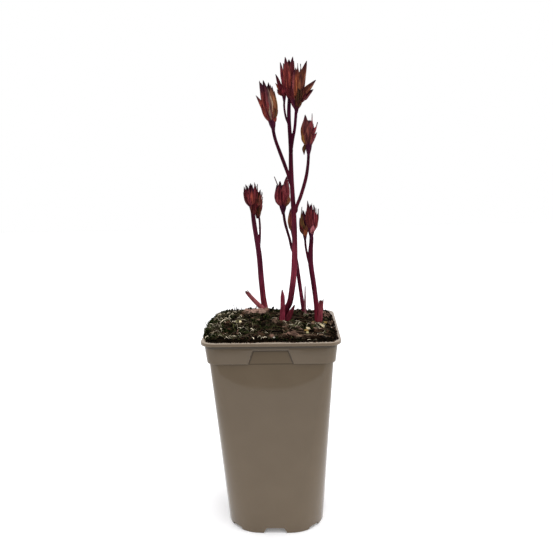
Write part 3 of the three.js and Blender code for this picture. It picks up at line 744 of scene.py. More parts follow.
# How far the ground lies below what bits lie on, and how much lower still its outermost row is.
GROUND_DROP = 0.4
EDGE_DROP = 3.0
GROUND_SIDES = 300
GROUND_ROWS = 75
CRUMB_SHARE = 0.97

# The litter that has grown out over the left rim: along y, how high it stands above the rim and
# how far its outer edge is from the middle of the pot.
OVERHANG = (
    (-58, 0.4, 64.5), (-52, 2.2, 67.0), (-44, 4.8, 68.6), (-34, 6.0, 69.4), (-20, 5.0, 69.2),
    (-8, 3.4, 68.4), (8, 1.6, 67.0), (24, 0.8, 66.0), (44, 0.6, 65.5), (57, 0.4, 64.5),
)
OVERHANG_INNER = 50
OVERHANG_LIFT = 0.15
# How far litter spills over the rim on the right and at the back.
SPILL = 3.8
SPILL_LIFT = 0.3
# How far peat lies out over the rim: by the direction from the pot's middle, in degrees.
RIM_PEAT = (
    (-136, 0.5), (-130, 3.2), (-101, 3.3), (-97, 0.6), (-80, 0.6), (-76, 3.2), (-50, 3.4), (-40, 2.2),
    (35, 1.8),
)
RIM_CRUMBS = 850


def mound(x, y, middle_x, middle_y, spread, height):
    """Height of a smooth round mound at a place."""
    return height * np.exp(-((x - middle_x) ** 2 + (y - middle_y) ** 2) / (2 * spread**2))


def heap(x, y):
    """Height of the soil's surface: heaped in the middle, mossy on the left, lumpy all over."""
    level = SOIL_LEVEL - SOIL_SLOPE * x
    lumps = np.sin(0.31 * x + 1.3) * np.cos(0.27 * y - 0.6) + np.sin(0.19 * (x + y) + 2.1)
    edges = EDGE_RISE * np.clip((np.maximum(x, -y) - RISE_FROM) / RISE_OVER, 0, 1)
    back = BACK_RISE * np.clip((y - RISE_FROM) / RISE_OVER, 0, 1)
    mounds = level + mound(x, y, *CROWN) - mound(x, y, *DIP) + mound(x, y, *MOSS_MOUND)
    return mounds + np.maximum(edges, back) + LUMP_HEIGHT * lumps


def overhang(y):
    """Height above the rim and reach of the overhanging litter at a place along the rim."""
    along, heights, reaches = zip(*OVERHANG)
    return np.interp(y, along, heights), np.interp(y, along, reaches)


def surface(x, y):
    """Height of what there is to stand on, out to the litter's edge on the left rim."""
    height, reach = overhang(y)
    out = np.clip((-x - OVERHANG_INNER) / (reach - OVERHANG_INNER), 0, 1)
    over = POT_HEIGHT + height * np.sqrt(1 - out**4)
    level = np.where(np.maximum(x, y) > SOIL_HALF, POT_HEIGHT + SPILL_LIFT, heap(x, y))
    return np.where(out > 0, np.maximum(level, over), level)


def over_rim(x, y):
    """Moves places near the soil's edges out over the rim, but not at the front."""
    _, reach = overhang(y)
    out = (-x - OVERHANG_INNER) / (SOIL_HALF - OVERHANG_INNER)
    spill_x = SPILL * np.clip(x / SOIL_HALF, 0, 1) ** 6
    spill_y = SPILL * np.clip(y / SOIL_HALF, 0, 1) ** 6
    return np.where(out > 0, -mix(OVERHANG_INNER, reach, out), x + spill_x), y + spill_y


def square_reach(half, corner, angle):
    """Distance from the middle to a rounded square in the direction of an angle."""
    cosine, sine = np.abs(np.cos(angle)), np.abs(np.sin(angle))
    centre = half - corner
    across = np.maximum(cosine, sine)
    straight = half / across
    under_root = corner**2 - centre**2 * (1 - 2 * cosine * sine)
    arc = centre * (cosine + sine) + np.sqrt(np.maximum(under_root, 0))
    return np.where(half * np.minimum(cosine, sine) / across <= centre, straight, arc)


def soil_reach(angle):
    """Distance from the middle to the soil's edge in the direction of an angle."""
    return square_reach(SOIL_HALF, SOIL_CORNER, angle)


def make_ground():
    """The ground itself: a crumbly surface and a plain plug below it, down to the pot's floor."""
    angles = np.linspace(0, 2 * math.pi, GROUND_SIDES, endpoint=False)
    reach = soil_reach(angles)
    rings = []

    def ring(out, z):
        heights = np.broadcast_to(z, out.shape)
        rings.append(np.column_stack([out * np.cos(angles), out * np.sin(angles), heights]))

    inset = WALL + SOIL_GAP
    for z in (FLOOR_Z + inset, COLLAR_FOOT_Z / 2, PANEL_TOP_Z + inset + 0.5):
        ring(square_reach(body_half(z) - inset, body_corner(z) - inset, angles), z)
    folds, folds_fine = GROUND_FOLDS
    grain, grain_fine = GROUND_GRAIN
    for share in (1.0, 0.999, *np.linspace(0.985, 0.015, GROUND_ROWS)):
        x, y = share * reach * np.cos(angles), share * reach * np.sin(angles)
        rough = [
            folds * noise.fractal(Vector((a, b, 4)) * folds_fine, 0.55, 2.1, 5)
            - grain * noise.noise(Vector((a, b, 9)) * grain_fine)
            for a, b in zip(x, y)
        ]
        drop = EDGE_DROP if share == 1.0 else 0
        ring(share * reach, heap(x, y) + np.array(rough) - GROUND_DROP - drop)
    ground = Piece("soil_ground")
    ground.add(np.vstack(rings), ring_faces(len(rings), GROUND_SIDES))
    ground.make(soil_look(), "potting_soil", "soil", sharp=70)


def random_turns(random, count):
    """Random rotation matrices, made from random quaternions."""
    w, x, y, z = unit(random.normal(size=(count, 4))).T
    rows = [
        [1 - 2 * (y * y + z * z), 2 * (x * y - w * z), 2 * (x * z + w * y)],
        [2 * (x * y + w * z), 1 - 2 * (x * x + z * z), 2 * (y * z - w * x)],
        [2 * (x * z - w * y), 2 * (y * z + w * x), 1 - 2 * (x * x + y * y)],
    ]
    return np.array(rows).transpose(2, 0, 1)


def scatter_places(random, count, share=CRUMB_SHARE):
    """Random places on the soil's surface, even over its area."""
    angle = random.uniform(0, 2 * math.pi, count)
    out = share * np.sqrt(random.uniform(0, 1, count)) * soil_reach(angle)
    x, y = over_rim(out * np.cos(angle), out * np.sin(angle))
    return np.column_stack([x, y, surface(x, y)])


def rim_places(random, count):
    """Random places on top of the rim at the front and the right, where peat has been spilt."""
    degrees = random.uniform(RIM_PEAT[0][0], RIM_PEAT[-1][0], count)
    turn = np.radians(degrees)
    inner = square_reach(COLLAR_TOP_HALF - WALL, COLLAR_TOP_CORNER - WALL, turn)
    out = inner + random.uniform(-0.8, 1, count) * np.interp(degrees, *zip(*RIM_PEAT))
    return np.column_stack([out * np.cos(turn), out * np.sin(turn), np.full(count, POT_HEIGHT)])


def ball(level):
    """Points and triangles of a round ball of radius 1."""
    shape = bmesh.new()
    bmesh.ops.create_icosphere(shape, subdivisions=level, radius=1)
    points = np.array([v.co for v in shape.verts])
    faces = np.array([[v.index for v in f.verts] for f in shape.faces])
    shape.free()
    return points, faces


def copies(piece, shape, faces, places, turns, sizes, tones, jitter, random):
    """Adds one copy of a shape at each place, each a little out of true."""
    count, corners = len(places), len(shape)
    bent = shape[None] * (1 + jitter * random.normal(size=(count, corners, 1)))
    bent = bent * sizes[:, None, :]
    points = np.einsum("nij,nkj->nki", turns, bent) + places[:, None, :]
    shifts = (np.arange(count) * corners)[:, None, None]
    groups = [(np.asarray(group)[None] + shifts).reshape(-1, np.asarray(group).shape[-1]) for group in faces]
    piece.add(points.reshape(-1, 3), groups, tone=np.repeat(tones, corners, axis=0))


def tones_from(random, count, palette, spread=0.25):
    """A tone for each bit, drawn by weight from a few and varied in brightness."""
    tones, weights = zip(*palette)
    weights = np.array(weights, float) / sum(weights)
    chosen = np.array(tones)[random.choice(len(tones), count, p=weights)]
    return chosen * np.exp(spread * random.normal(size=(count, 1)))


BLACK_PEAT = (0.002, 0.001, 0.0005)
PEAT = (0.005, 0.003, 0.0015)
BARK_DARK = (0.02, 0.011, 0.006)
BARK = (0.055, 0.03, 0.018)
BARK_PALE = (0.15, 0.1, 0.07)
BARK_PINK = (0.2, 0.12, 0.09)
BARK_ROSY = (0.32, 0.205, 0.165)
STRAW = (0.5, 0.46, 0.25)
FIBRE = (0.09, 0.073, 0.047)
FIBRE_PALE = (0.62, 0.56, 0.43)
FIBRE_GREEN = (0.06, 0.065, 0.025)
OCHRE = (0.26, 0.17, 0.055)
CREAM = (0.62, 0.53, 0.34)
STONE = (0.6, 0.58, 0.52)
MOSS_DARK = (0.004, 0.007, 0.002)
MOSS = (0.013, 0.021, 0.006)
MOSS_BRIGHT = (0.042, 0.064, 0.016)
MOSS_GOLD = (0.1, 0.1, 0.035)


# Loose crumbs of each kind: how finely they are cut, how many, and their smallest and largest size.
CRUMBS = ((1, 2600, 0.35, 0.9), (2, 380, 0.8, 2.0))
# Each tone with its weight in the draw, here and in the other lists of tones.
CRUMB_TONES = ((BLACK_PEAT, 34), (PEAT, 36), (BARK_DARK, 20), (BARK, 7), (BARK_PALE, 2), (STONE, 0.4))
CRUMB_STRETCH = (0.6, 1.3)
CRUMB_LIFTS = (-0.3, 0.9)
CRUMB_JITTER = 0.14
RIM_CRUMB_TONES = ((BLACK_PEAT, 5), (PEAT, 5), (BARK_DARK, 3), (BARK, 1))
RIM_CRUMB_SIZES = (0.5, 1.1)
RIM_CRUMB_HEIGHT = 0.5


def make_crumbs():
    """Crumbs of peat and bark all over the soil, and finer ones spilt on the rim."""
    random = np.random.default_rng(5)
    crumbs = Piece("soil_crumbs")
    look = litter_look("soil_crumb", 0.95, 0.35, (1, 1, 1), 0.9)
    for level, count, low, high in CRUMBS:
        shape, faces = ball(level)
        places = scatter_places(random, count)
        sizes = random.uniform(low, high, (count, 1)) * random.uniform(*CRUMB_STRETCH, (count, 3))
        places[:, 2] += random.uniform(*CRUMB_LIFTS, count) * sizes[:, 2]
        tones = tones_from(random, count, CRUMB_TONES)
        turns = random_turns(random, count)
        copies(crumbs, shape, [faces], places, turns, sizes, tones, CRUMB_JITTER, random)
    shape, faces = ball(1)
    sizes = random.uniform(*RIM_CRUMB_SIZES, (RIM_CRUMBS, 1)) * (1, 1, RIM_CRUMB_HEIGHT)
    tones = tones_from(random, RIM_CRUMBS, RIM_CRUMB_TONES)
    spins = random.uniform(0, 2 * math.pi, RIM_CRUMBS)
    turns = np.array([Matrix.Rotation(spin, 3, "Z") for spin in spins])
    places = rim_places(random, RIM_CRUMBS)
    copies(crumbs, shape, [faces], places, turns, sizes, tones, CRUMB_JITTER, random)
    crumbs.make(look, "potting_soil", sharp=80)


# A flake from its underside to its top, as shares of its outline and of its thickness.
FLAKE_ROWS = (
    (0.02, -0.5), (0.8, -0.5), (1.0, -0.3), (0.97, 0.2), (0.86, 0.5), (0.45, 0.56), (0.02, 0.5),
)
FLAKE_SIDES = 13
FLAKE_RAGGED = (0.72, 1.12)


def flake(random):
    """A flat, ragged flake of bark, one unit long, wide and thick."""
    angle = np.arange(FLAKE_SIDES) / FLAKE_SIDES * 2 * math.pi
    outline = np.column_stack([0.5 * np.cos(angle), 0.5 * np.sin(angle)])
    outline *= random.uniform(*FLAKE_RAGGED, (FLAKE_SIDES, 1))
    rows = [np.column_stack([outline * share, np.full(FLAKE_SIDES, z)]) for share, z in FLAKE_ROWS]
    return np.vstack(rows), ring_faces(len(rows), FLAKE_SIDES)


# Bits that the eye picks out: x, y, length, width, thickness, then the turn, lean and pitch in
# degrees, and the tone.
NAMED_CHIPS = (
    (-20, 30, 21, 13, 3.0, 6, -4, 46, BARK_ROSY),
    (-30, 36, 12, 8, 2.6, -24, 10, 40, BARK_ROSY),
    (-9, 36, 10, 7, 2.4, 24, -8, 40, BARK_PINK),
    (23, -47, 18, 9, 2.4, -16, 4, 38, BARK_PINK),
    (1, -50, 6.5, 5, 2.4, 40, 4, 34, BARK_PINK),
    (3, -8, 11, 8, 2.6, 100, -4, 60, BARK_PALE),
    (-37, -10, 7.5, 5.5, 2.6, 30, -12, 40, STRAW),
    (-34, -13, 4, 3.4, 2.4, -20, 10, 30, CREAM),
    (37, -38, 5, 2.6, 2, -35, 12, 15, STRAW),
    (53, -14, 9, 4.4, 2.4, 118, -6, 40, CREAM),
    (52, 6, 5, 4, 2.2, 70, -14, 25, OCHRE),
    (57, -4, 6, 3.6, 2.2, 20, 10, 20, OCHRE),
    (38, -22, 6, 4, 2.4, -30, 8, 30, CREAM),
    (36, -30, 5, 4, 2.4, 20, 8, 30, OCHRE),
    (44, 0, 4, 3, 2.0, 60, 12, 20, OCHRE),
    (60, 24, 10, 6, 2.4, 70, 10, 30, BARK_PINK),
    (57, 36, 8, 5, 2.2, 30, -8, 20, BARK_PINK),
    (62, -6, 19, 2.4, 1.6, 92, 3, 10, BARK_PALE),
    (50, -46, 8, 4, 2.0, 15, -6, 20, BARK_PALE),
    (-10, -44, 8, 6, 2.4, 15, 8, 30, BARK),
    (30, 20, 9, 6, 2.6, 40, -8, 10, BARK_DARK),
    (14, -20, 10, 4, 2.2, 28, -10, 20, BARK_PALE),
    (28, -24, 12, 3, 1.8, -30, 10, 20, BARK_PALE),
    (46, -24, 8, 3, 2.0, -50, 14, 10, BARK_PALE),
    (-34, 26, 8, 4, 2.0, -40, 12, 10, BARK),
    (-36, 38, 7, 4, 2.0, 10, 4, 20, BARK_PINK),
    (40, -56, 30, 2.4, 1.5, 4, -2, 10, BARK_DARK),
    (50, -34, 16, 2.2, 1.5, -18, 6, 10, BARK),
)
CHIPS = 190
CHIP_SHARE = 0.9
CHIP_TONES = ((PEAT, 26), (BARK_DARK, 36), (BARK, 22), (BARK_PALE, 6), (BARK_PINK, 5), (STRAW, 1.2))
CHIP_LENGTHS = (3.0, 11)
# Widths as shares of a chip's length.
CHIP_WIDTHS = (0.2, 0.6)
CHIP_THICKNESSES = (0.7, 1.9)
CHIP_LIFTS = (0.0, 0.9)
CHIP_TILT = 0.28
CHIP_JITTER = 0.06
CHIP_SHAPES = 6
NAMED_CHIP_LIFT = 1.5
# A chip that is longer than this has more flakes on it, each smaller, darker or lighter, and
# turned and pitched by a few degrees.
LAYERED_FROM = 9.5
CHIP_LAYERS = 4
LAYER_LIFT = 0.45
LAYER_SHIFT = 0.16
LAYER_SIZES = (0.3, 0.75)
LAYER_THICKNESS = 0.8
LAYER_SHADES = (0.4, 1.25)
LAYER_TURN = 9
LAYER_PITCH = 7


def layers(random, chip):
    """A big chip as a few flakes that lie on each other, a little out of line."""
    x, y, long, wide, thick, degrees, lean, pitch, tone = chip
    result = [chip]
    for _ in range(CHIP_LAYERS if long > LAYERED_FROM else 0):
        shift_x, shift_y = random.uniform(-LAYER_SHIFT, LAYER_SHIFT, 2) * long
        along, across = random.uniform(*LAYER_SIZES, 2)
        shade = random.uniform(*LAYER_SHADES)
        turn = degrees + random.normal(0, LAYER_TURN)
        own_pitch = pitch + random.normal(0, LAYER_PITCH)
        size = (along * long, across * wide, thick * LAYER_THICKNESS)
        own_tone = tuple(shade * np.array(tone))
        result.append((x + shift_x, y + 0.6 * shift_y, *size, turn, lean, own_pitch, own_tone))
    return result


def make_chips():
    """Chips of bark: many at random, and those that the eye picks out where they lie."""
    random = np.random.default_rng(11)
    chips = Piece("soil_chips")
    look = litter_look("bark", 0.85, 0.5, (0.6, 2.4, 2), 1.9)
    places = scatter_places(random, CHIPS, CHIP_SHARE)
    length = random.uniform(*CHIP_LENGTHS, CHIPS)
    width = length * random.uniform(*CHIP_WIDTHS, CHIPS)
    sizes = np.column_stack([length, width, random.uniform(*CHIP_THICKNESSES, CHIPS)])
    turn = random.uniform(0, 2 * math.pi, CHIPS)
    tilt = random.normal(0, CHIP_TILT, (2, CHIPS))
    places[:, 2] += random.uniform(*CHIP_LIFTS, CHIPS)
    tones = tones_from(random, CHIPS, CHIP_TONES)
    named = [flat for chip in NAMED_CHIPS for flat in enumerate(layers(random, chip))]
    for depth, (x, y, long, wide, thick, degrees, lean, pitch, tone) in named:
        places = np.vstack([places, (x, y, heap(x, y) + NAMED_CHIP_LIFT + LAYER_LIFT * depth)])
        sizes = np.vstack([sizes, (long, wide, thick)])
        turn = np.append(turn, math.radians(degrees))
        tilt = np.column_stack([tilt, (math.radians(lean), math.radians(pitch))])
        tones = np.vstack([tones, tone])
    turns = np.array(
        [
            Matrix.Rotation(spin, 3, "Z") @ Matrix.Rotation(lean, 3, "Y") @ Matrix.Rotation(pitch, 3, "X")
            for spin, lean, pitch in zip(turn, *tilt)
        ]
    )
    kinds = np.arange(len(places)) % CHIP_SHAPES
    for kind in range(CHIP_SHAPES):
        shape, faces = flake(random)
        own = kinds == kind
        bits = (places[own], turns[own], sizes[own], tones[own])
        copies(chips, shape, faces, *bits, CHIP_JITTER, random)
    chips.make(look, "potting_soil", sharp=40)


def thread(piece, route, radius, tip, sides, steps, **values):
    """A thin tapering strand along a route."""
    points, along = spline(route, steps)
    reference = np.where(np.abs(along[:, 2:]) > 0.8, [0.0, 1.0, 0.0], [0.0, 0.0, 1.0])
    side = unit(np.cross(reference, along))
    forward = np.cross(along, side)
    angle = np.arange(sides) / sides * 2 * math.pi
    size = mix(radius, tip, np.linspace(0, 1, steps) ** 1.5)[:, None, None]
    rings = points[:, None] + size * (
        side[:, None] * np.cos(angle)[None, :, None] + forward[:, None] * np.sin(angle)[None, :, None]
    )
    piece.add(rings, ring_faces(steps, sides), **values)


def lying_route(x, y, turn, length, curl, lift):
    """A bowed route over the soil, through a place and in a direction."""
    ahead = np.array([math.cos(turn), math.sin(turn)])
    aside = np.array([-ahead[1], ahead[0]])
    route = []
    for along in (-0.5, -0.2, 0.15, 0.5):
        px, py = np.array([x, y]) + length * (along * ahead + curl * along * along * aside)
        if px > -OVERHANG_INNER:
            reach = soil_reach(math.atan2(py, px)) * CRUMB_SHARE
            px, py = np.array([px, py]) * min(1, reach / max(math.hypot(px, py), 1))
        else:
            px = max(px, -overhang(py)[1])
        route.append((px, py, float(surface(px, py)) + 0.5 + lift * (1 - 4 * along * along)))
    return route


# Shreds of fibrous bark across the front right: x, y, turn in degrees, length, curl and radius.
SHREDS = (
    (30, -50, -8, 40, 0.5, 0.9), (34, -47, -14, 36, 0.7, 0.7), (38, -44, -20, 32, 0.8, 0.8),
    (44, -40, -10, 30, 0.5, 0.9), (26, -44, -26, 26, 0.9, 0.6), (46, -52, 3, 28, 0.3, 0.8),
    (24, -52, -2, 30, 0.3, 0.6), (50, -47, -12, 22, 0.6, 0.6), (30, -36, -24, 24, 0.8, 0.7),
    (18, -48, -12, 24, 0.6, 0.7), (50, -30, -30, 20, 0.9, 0.6), (36, -54, -4, 34, 0.4, 0.7),
)
SHRED_TONES = ((BARK_DARK, 3), (BARK, 4), (BARK_PALE, 4))
SHRED_LIFT = 1.6
SHRED_LIFT_SHARES = (0.5, 1.2)
FIBRES = 620
FIBRE_SHARE = 0.86
FIBRE_TONES = ((FIBRE, 5), (FIBRE_GREEN, 4), (BARK, 4), (BARK_DARK, 3), (BARK_PALE, 2))
FIBRE_LENGTHS = (4, 17)
FIBRE_CURL = 0.25
FIBRE_LIFTS = (0.3, 2)
FIBRE_RADII = (0.12, 0.32)


def make_fibres():
    """Roots and straw that lie about on the soil, and shreds of bark at the front right."""
    random = np.random.default_rng(23)
    fibres = Piece("soil_fibres")
    look = litter_look("fibre", 0.8, 0.08, (1, 1, 1), 1.5)
    for x, y, _ in scatter_places(random, FIBRES, FIBRE_SHARE):
        turn = random.uniform(0, 2 * math.pi)
        length = random.uniform(*FIBRE_LENGTHS)
        curl = random.normal(0, FIBRE_CURL)
        route = lying_route(x, y, turn, length, curl, random.uniform(*FIBRE_LIFTS))
        tone = tones_from(random, 1, FIBRE_TONES)[0]
        radius = random.uniform(*FIBRE_RADII)
        thread(fibres, route, radius, radius * 0.5, 5, 8, tone=tone)
    for x, y, degrees, length, curl, radius in SHREDS:
        lift = SHRED_LIFT * random.uniform(*SHRED_LIFT_SHARES)
        route = lying_route(x, y, math.radians(degrees), length, curl, lift)
        tone = tones_from(random, 1, SHRED_TONES, 0.3)[0]
        thread(fibres, route, radius, radius * 0.4, 6, 16, tone=tone)
    fibres.make(look, "potting_soil", sharp=80)


# Where dry strands curl up out of the soil: x, y, spread, how many and how high.
STRAND_PATCHES = (
    (-55, -50, 9, 50, 2.8), (-60, -30, 10, 64, 3.8), (-46, -6, 14, 56, 3.4), (-54, 18, 12, 46, 3.6),
    (-50, 42, 12, 40, 3.4), (-24, -22, 14, 50, 2.6), (16, -8, 14, 50, 2.6), (24, -12, 9, 46, 2.8),
    (50, -8, 12, 50, 2.6), (52, -40, 10, 30, 2.0), (40, 36, 16, 36, 3.0), (-30, 44, 14, 24, 3.6),
    (-40, -55, 13, 30, 2.2), (-12, -57, 15, 18, 2.0), (40, -58, 16, 10, 1.6),
)
# Sprouts that stand clear of the soil's outline: x, y, height and which way they bend.
SPROUTS = (
    (-67, -30, 9, -2.4), (-65, -16, 7, -1.6), (-63, 2, 6, -2.0), (-56, 30, 6, 2.0), (-58, 40, 7, -0.5),
    (-55, 44, 9, 1.2), (-47, 50, 11, -1.4), (-45, 52, 9, 0.8), (-39, 54, 7, -0.8), (-22, 54, 6, 1.2),
    (2, 54, 7, 1.5), (22, 55, 6, -1.4), (40, 52, 8, -1.2), (57, 44, 13, -0.6), (57, 30, 7, 1.2),
    (-58, -4, 7, 2.6), (-67, -42, 5, -1.2), (-50, 38, 8, 2.4), (-66, 20, 7, 1.5), (-64, -22, 7, 1.8),
)
STRAND_TONES = ((FIBRE_PALE, 4), (FIBRE, 5), (FIBRE_GREEN, 4), (BARK_DARK, 2))
STRAND_LENGTHS = (4, 11)
STRAND_TURN = 1.1
STRAND_CURL = 0.6
STRAND_LIFT_SHARES = (0.3, 1.1)
STRAND_RADII = (0.14, 0.38)
SPROUT_TONES = ((MOSS_DARK, 1), (MOSS, 2))
SPROUT_RADIUS = 0.5


def make_strands():
    """Dry roots and grass, pale on the dark soil and thickest on the left, and mossy sprouts."""
    random = np.random.default_rng(67)
    strands = Piece("soil_strands")
    look = litter_look("strand", 0.75, 0.05, (1, 1, 1), 2.0)
    for middle_x, middle_y, spread, count, high in STRAND_PATCHES:
        for _ in range(count):
            x, y = random.normal((middle_x, middle_y), spread * 0.5)
            turn = random.normal(0, STRAND_TURN)
            lift = high * random.uniform(*STRAND_LIFT_SHARES)
            length = random.uniform(*STRAND_LENGTHS)
            route = lying_route(x, y, turn, length, random.normal(0, STRAND_CURL), lift)
            tone = tones_from(random, 1, STRAND_TONES, 0.5)[0]
            radius = random.uniform(*STRAND_RADII)
            thread(strands, route, radius, radius * 0.4, 5, 9, tone=tone)
    for x, y, high, bend in SPROUTS:
        foot = float(surface(x, y)) - 0.5
        route = [(x, y, foot), (x + 0.2 * bend, y, foot + 0.5 * high), (x + bend, y + 0.5, foot + high)]
        tone = tones_from(random, 1, SPROUT_TONES)[0]
        thread(strands, route, SPROUT_RADIUS, SPROUT_RADIUS * 0.4, 5, 9, tone=tone)
    strands.make(look, "potting_soil", sharp=80)


# Moss patches: x, y, radius, shoots and height.
MOSS_PATCHES = (
    (-58, -52, 7, 110, 3.5), (-65, -42, 5, 90, 4.0), (-64, -30, 8, 150, 4.5), (-64, -14, 8, 170, 4.5),
    (-63, 6, 8, 140, 4.0), (-62, 28, 8, 120, 3.5), (-60, 48, 8, 90, 3.0), (-48, -36, 11, 120, 3.5),
    (-46, 4, 13, 150, 3.5), (-38, 36, 12, 90, 3.5), (-30, -34, 14, 130, 3.0), (-6, -26, 10, 120, 3.2),
    (-24, -4, 11, 90, 3.0), (-8, 8, 10, 90, 3.5), (20, 34, 14, 90, 3.2), (30, -14, 12, 110, 3.0),
    (46, -16, 9, 70, 3.0), (54, 30, 10, 70, 4.0), (2, 48, 14, 80, 4.0), (6, -54, 16, 60, 2.2),
)
MOSS_TONES = ((MOSS_DARK, 34), (MOSS, 40), (MOSS_BRIGHT, 18), (MOSS_GOLD, 8))
MOSS_LEAN = 0.25
MOSS_LEAVES = 7
# A leaf's half widths and length, what it is scaled by, and its turns in radians.
MOSS_LEAF = (0.4, 0.4, 2.0)
MOSS_LEAF_SIZES = (0.75, 1.2)
MOSS_LEAF_TURN = 2.4
MOSS_LEAF_TILTS = (0.5, 1.1)


def make_overhang():
    """The cushion of ground over the left rim that its litter and moss stand on."""
    rows, sides = 90, 30
    angle = np.arange(sides) / sides * 2 * math.pi
    across = np.sign(np.cos(angle)) * np.abs(np.cos(angle)) ** 0.7
    rise = np.where(np.sin(angle) > 0, np.abs(np.sin(angle)) ** 0.8, 0)
    cushion = Piece("soil_overhang")
    rings = []
    for y in np.linspace(OVERHANG[0][0], OVERHANG[-1][0], rows):
        height, reach = overhang(y)
        middle, half = (reach + OVERHANG_INNER) / 2, (reach - OVERHANG_INNER) / 2
        ring = np.column_stack([-(middle + half * across), np.full(sides, y), POT_HEIGHT + height * rise])
        for point in ring:
            lump = noise.fractal(Vector(point) * 0.35, 0.6, 2.2, 4)
            point += np.array([1.1, 0.9, 1.6]) * lump * min(height / 3, 1)
            point[0] = max(point[0], -LIP_HALF)
            point[2] = max(point[2], POT_HEIGHT + OVERHANG_LIFT)
        rings.append(ring)
    cushion.add(np.vstack(rings), ring_faces(rows, sides))
    cushion.make(soil_look(), "potting_soil", sharp=80)


def needle():
    """A tiny leaf of moss, pointing up, one unit high and wide."""
    angle = np.arange(3) / 3 * 2 * math.pi
    circle = np.column_stack([np.cos(angle), np.sin(angle)])
    rings = [(0.6, 0.0), (0.06, 1.0)]
    points = [np.column_stack([circle * width, np.full(3, z)]) for width, z in rings]
    points[1][:, 0] += 0.7
    return np.vstack(points), ring_faces(2, 3)


def moss_shoot(random, foot, height, facing):
    """One shoot: a place, a turn, a size and a tone for each of its leaves, from the foot up."""
    tone = tones_from(random, 1, MOSS_TONES, 0.3)[0]
    x, y, z = foot
    lean_x, lean_y = random.normal(0, MOSS_LEAN, 2)
    for leaf in range(MOSS_LEAVES):
        share = leaf / MOSS_LEAVES
        place = (x + lean_x * height * share, y + lean_y * height * share, z + height * share)
        tilt = random.uniform(*MOSS_LEAF_TILTS) * (1 - 0.5 * share)
        spin = Matrix.Rotation(leaf * MOSS_LEAF_TURN + facing, 3, "Z")
        size = random.uniform(*MOSS_LEAF_SIZES) * (1.1 - 0.5 * share)
        turn = spin @ Matrix.Rotation(tilt, 3, "Y")
        yield place, turn, size * np.array(MOSS_LEAF), tone * (0.7 + 0.8 * share)


def make_moss():
    """Cushions of moss, each shoot a short stack of tiny leaves."""
    random = np.random.default_rng(41)
    moss = Piece("soil_moss")
    look = litter_look("moss", 0.9, 0.1, (1, 1, 1), 0.8)
    shape, faces = needle()
    leaves = []
    for middle_x, middle_y, radius, count, height in MOSS_PATCHES:
        for _ in range(count):
            out = radius * abs(random.normal(0, 0.6))
            turn = random.uniform(0, 2 * math.pi)
            y = float(np.clip(middle_y + out * math.sin(turn), 2 - SOIL_HALF, SOIL_HALF - 2))
            x = max(middle_x + out * math.cos(turn), -overhang(y)[1])
            reach = soil_reach(math.atan2(y, x)) * CRUMB_SHARE
            if x > -OVERHANG_INNER and math.hypot(x, y) > reach:
                continue
            tall = height * random.uniform(0.35, 1.0) * math.exp(-((out / radius) ** 2) * 0.6)
            leaves += moss_shoot(random, (x, y, float(surface(x, y)) - 0.2), tall, turn)
    places, turns, sizes, tones = (np.array(part) for part in zip(*leaves))
    copies(moss, shape, faces, places, turns, sizes, tones, 0.05, random)
    moss.make(look, "potting_soil", sharp=80)


# The stems

STEM_DEPTH = 26
# How much steeper a stem goes down in the soil than it leaves it.
ROOT_STEEPER = 3
STEM_VOXEL = 0.44
# What is added to the radii, because smoothing takes it away again.
STEM_SKIN = 0.28
BRANCH_SKIN = 0.06
STEM_SIDES = 28
# How many ribs a stem has, how far they wind round it in radians, and, as shares of its radius,
# the height of its ribs, how oval it is and how much it swells.
STEM_RIBS = 5
STEM_WIND = 1.1
RIB_HEIGHT = 0.045
OVAL = 0.03
SWELLING = 0.035


def rooted(*route):
    """A route with its stretch below the surface, which goes down from its first two points."""
    (x0, y0, z0), (x1, y1, z1) = route[:2]
    share = STEM_DEPTH / (z1 - z0) / ROOT_STEEPER
    return [(x0 - (x1 - x0) * share, y0 - (y1 - y0) * share, z0 - STEM_DEPTH), *route]


